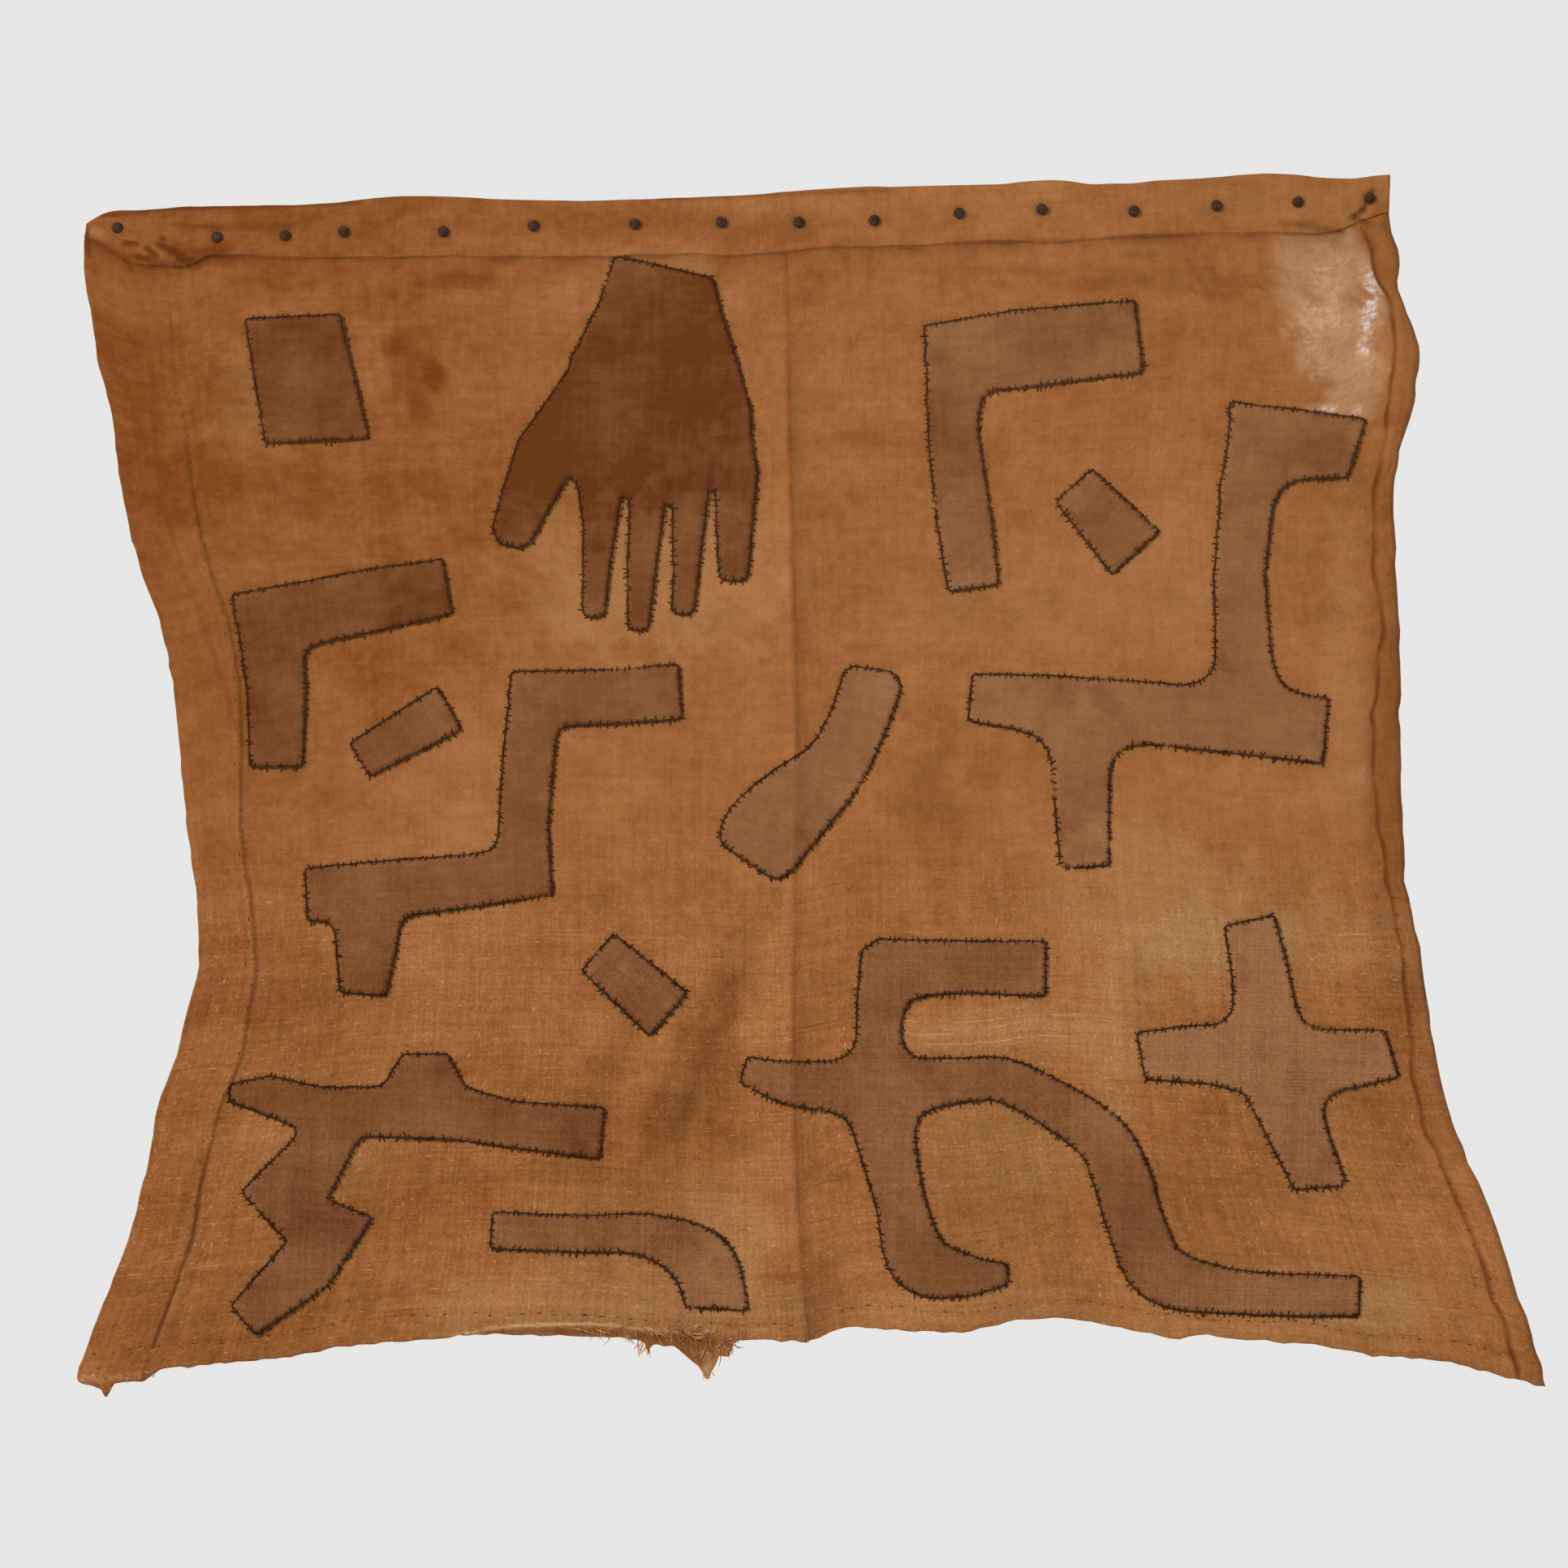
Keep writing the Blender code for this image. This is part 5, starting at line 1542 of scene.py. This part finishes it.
class RAFFIA_OT_tacks(bpy.types.Operator):
    """Turns the tacks: low round heads, each a little dented, on pins through the heading"""

    bl_idname = "raffia.tacks"
    bl_label = "Tacks"

    def execute(self, context):
        tacks = context.scene.raffia_tacks
        finish = tack_finish("tack_metal", tacks)
        turn = np.arange(tacks.sides) * math.tau / tacks.sides
        dome = np.linspace(0, 1, tacks.rings) * math.pi / 2
        for number, (x_0, drop_0) in enumerate(TACKS):
            node = f"tack_{number + 1:02d}"
            low, high = (np.array(corner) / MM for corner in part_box(node))
            head, front, pin_end = (high[0] - low[0]) / 2, -low[1], -high[1]
            under = front - TACK_DOME - TACK_RIM
            radius = np.concatenate([head * np.sin(dome), [head, TACK_PIN, TACK_PIN, 0]])
            depth = np.concatenate([
                under + TACK_RIM + TACK_DOME * np.cos(dome),
                [under, under, pin_end + TACK_PIN, pin_end],
            ])
            radius, depth = radius[:, None], depth[:, None] + np.zeros_like(turn)
            x = x_0 + radius * np.cos(turn)
            drop = drop_0 + radius * np.sin(turn)
            dents = TACK_DENTS[0] * cloud(x, drop, TACK_DENTS[1], 500 + number)
            points = world(x, drop, depth + dents * (depth > under + TACK_RIM + 0.1))
            corner = np.arange(depth.size).reshape(depth.shape)
            ahead = np.roll(corner, -1, axis=1)
            faces = np.stack([corner[:-1], corner[1:], ahead[1:], ahead[:-1]], -1)
            name = node.replace("tack", "head")
            made = put_mesh(name, points.reshape(-1, 3), faces.reshape(-1, 4), finish)
            merge_poles(made.data)
            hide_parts(node)
        return {"FINISHED"}


def merge_poles(mesh):
    """Merges the points that share one place, which closes the poles of a turned piece."""
    bm = bmesh.new()
    bm.from_mesh(mesh)
    bmesh.ops.remove_doubles(bm, verts=bm.verts, dist=1e-6)
    bmesh.ops.recalc_face_normals(bm, faces=bm.faces)
    bm.to_mesh(mesh)
    bm.free()


class RAFFIA_OT_stage(bpy.types.Operator):
    """Sets the pale floor and world, the soft lights and the camera"""

    bl_idname = "raffia.stage"
    bl_label = "Stage"

    def execute(self, context):
        stage, scene = context.scene.raffia_stage, context.scene
        scene.view_settings.view_transform = "Standard"
        scene.world = bpy.data.worlds.new("pale_world")
        scene.world.use_nodes = True
        background = scene.world.node_tree.nodes["Background"]
        background.inputs["Color"].default_value = (*stage.world_colour, 1)
        background.inputs["Strength"].default_value = stage.world_light

        look = {"Base Color": (*stage.floor_colour, 1), "Roughness": 0.7}
        signs = ((-1, -1), (1, -1), (1, 1), (-1, 1))
        corners = [(FLOOR_REACH * x, FLOOR_REACH * y, -FLOOR_DROP) for x, y in signs]
        mesh = bpy.data.meshes.new("floor")
        mesh.from_pydata(corners, [], [(0, 1, 2, 3)])
        mesh.materials.append(Finish("pale_floor", look).material)
        plane = bpy.data.objects.new("floor", mesh)
        scene.collection.objects.link(plane)

        middle = np.array(AIM)
        for name, place, size, (power, share), colour in LIGHTS:
            lamp = bpy.data.lights.new(name, "AREA")
            lamp.size, lamp.energy, lamp.color = size, getattr(stage, power) * share, colour
            self.aim(scene, bpy.data.objects.new(name, lamp), middle + place, middle)

        camera = bpy.data.cameras.new("camera")
        camera.lens = camera.sensor_width * stage.camera_distance / stage.view_width
        eye = bpy.data.objects.new("camera", camera)
        front = np.array([0, -CLOTH_FRONT - stage.camera_distance, 0])
        self.aim(scene, eye, middle + front, middle)
        scene.camera = eye
        return {"FINISHED"}

    def aim(self, scene, thing, place, at):
        """Puts a light or camera in its place and turns it to a point."""
        scene.collection.objects.link(thing)
        thing.location = place
        away = Vector(place) - Vector(at)
        thing.rotation_euler = away.to_track_quat("Z", "Y").to_euler()


class RAFFIA_PT_panel(bpy.types.Panel):
    """Lists the steps that make the cloth"""

    bl_label = "Raffia cloth"
    bl_space_type = "VIEW_3D"
    bl_region_type = "UI"
    bl_category = "Raffia"

    def draw(self, context):
        for step in STEPS:
            self.layout.operator(step.bl_idname)


STEPS = (
    RAFFIA_OT_cloth, RAFFIA_OT_patches, RAFFIA_OT_whip_stitches, RAFFIA_OT_hem_stitches,
    RAFFIA_OT_frayed_strands, RAFFIA_OT_tacks, RAFFIA_OT_stage,
)
GROUPS = {
    "raffia_look": RaffiaLook, "raffia_sewing": RaffiaSewing, "raffia_tacks": RaffiaTacks,
    "raffia_stage": RaffiaStage,
}


def register():
    for group in (*GROUPS.values(), *STEPS, RAFFIA_PT_panel):
        bpy.utils.register_class(group)
    for name, group in GROUPS.items():
        setattr(bpy.types.Scene, name, PointerProperty(type=group))


def unregister():
    for name in GROUPS:
        delattr(bpy.types.Scene, name)
    for group in reversed((*GROUPS.values(), *STEPS, RAFFIA_PT_panel)):
        bpy.utils.unregister_class(group)


def main():
    register()
    for step in STEPS:
        area, name = step.bl_idname.split(".")
        getattr(getattr(bpy.ops, area), name)()


if __name__ == "__main__":
    main()
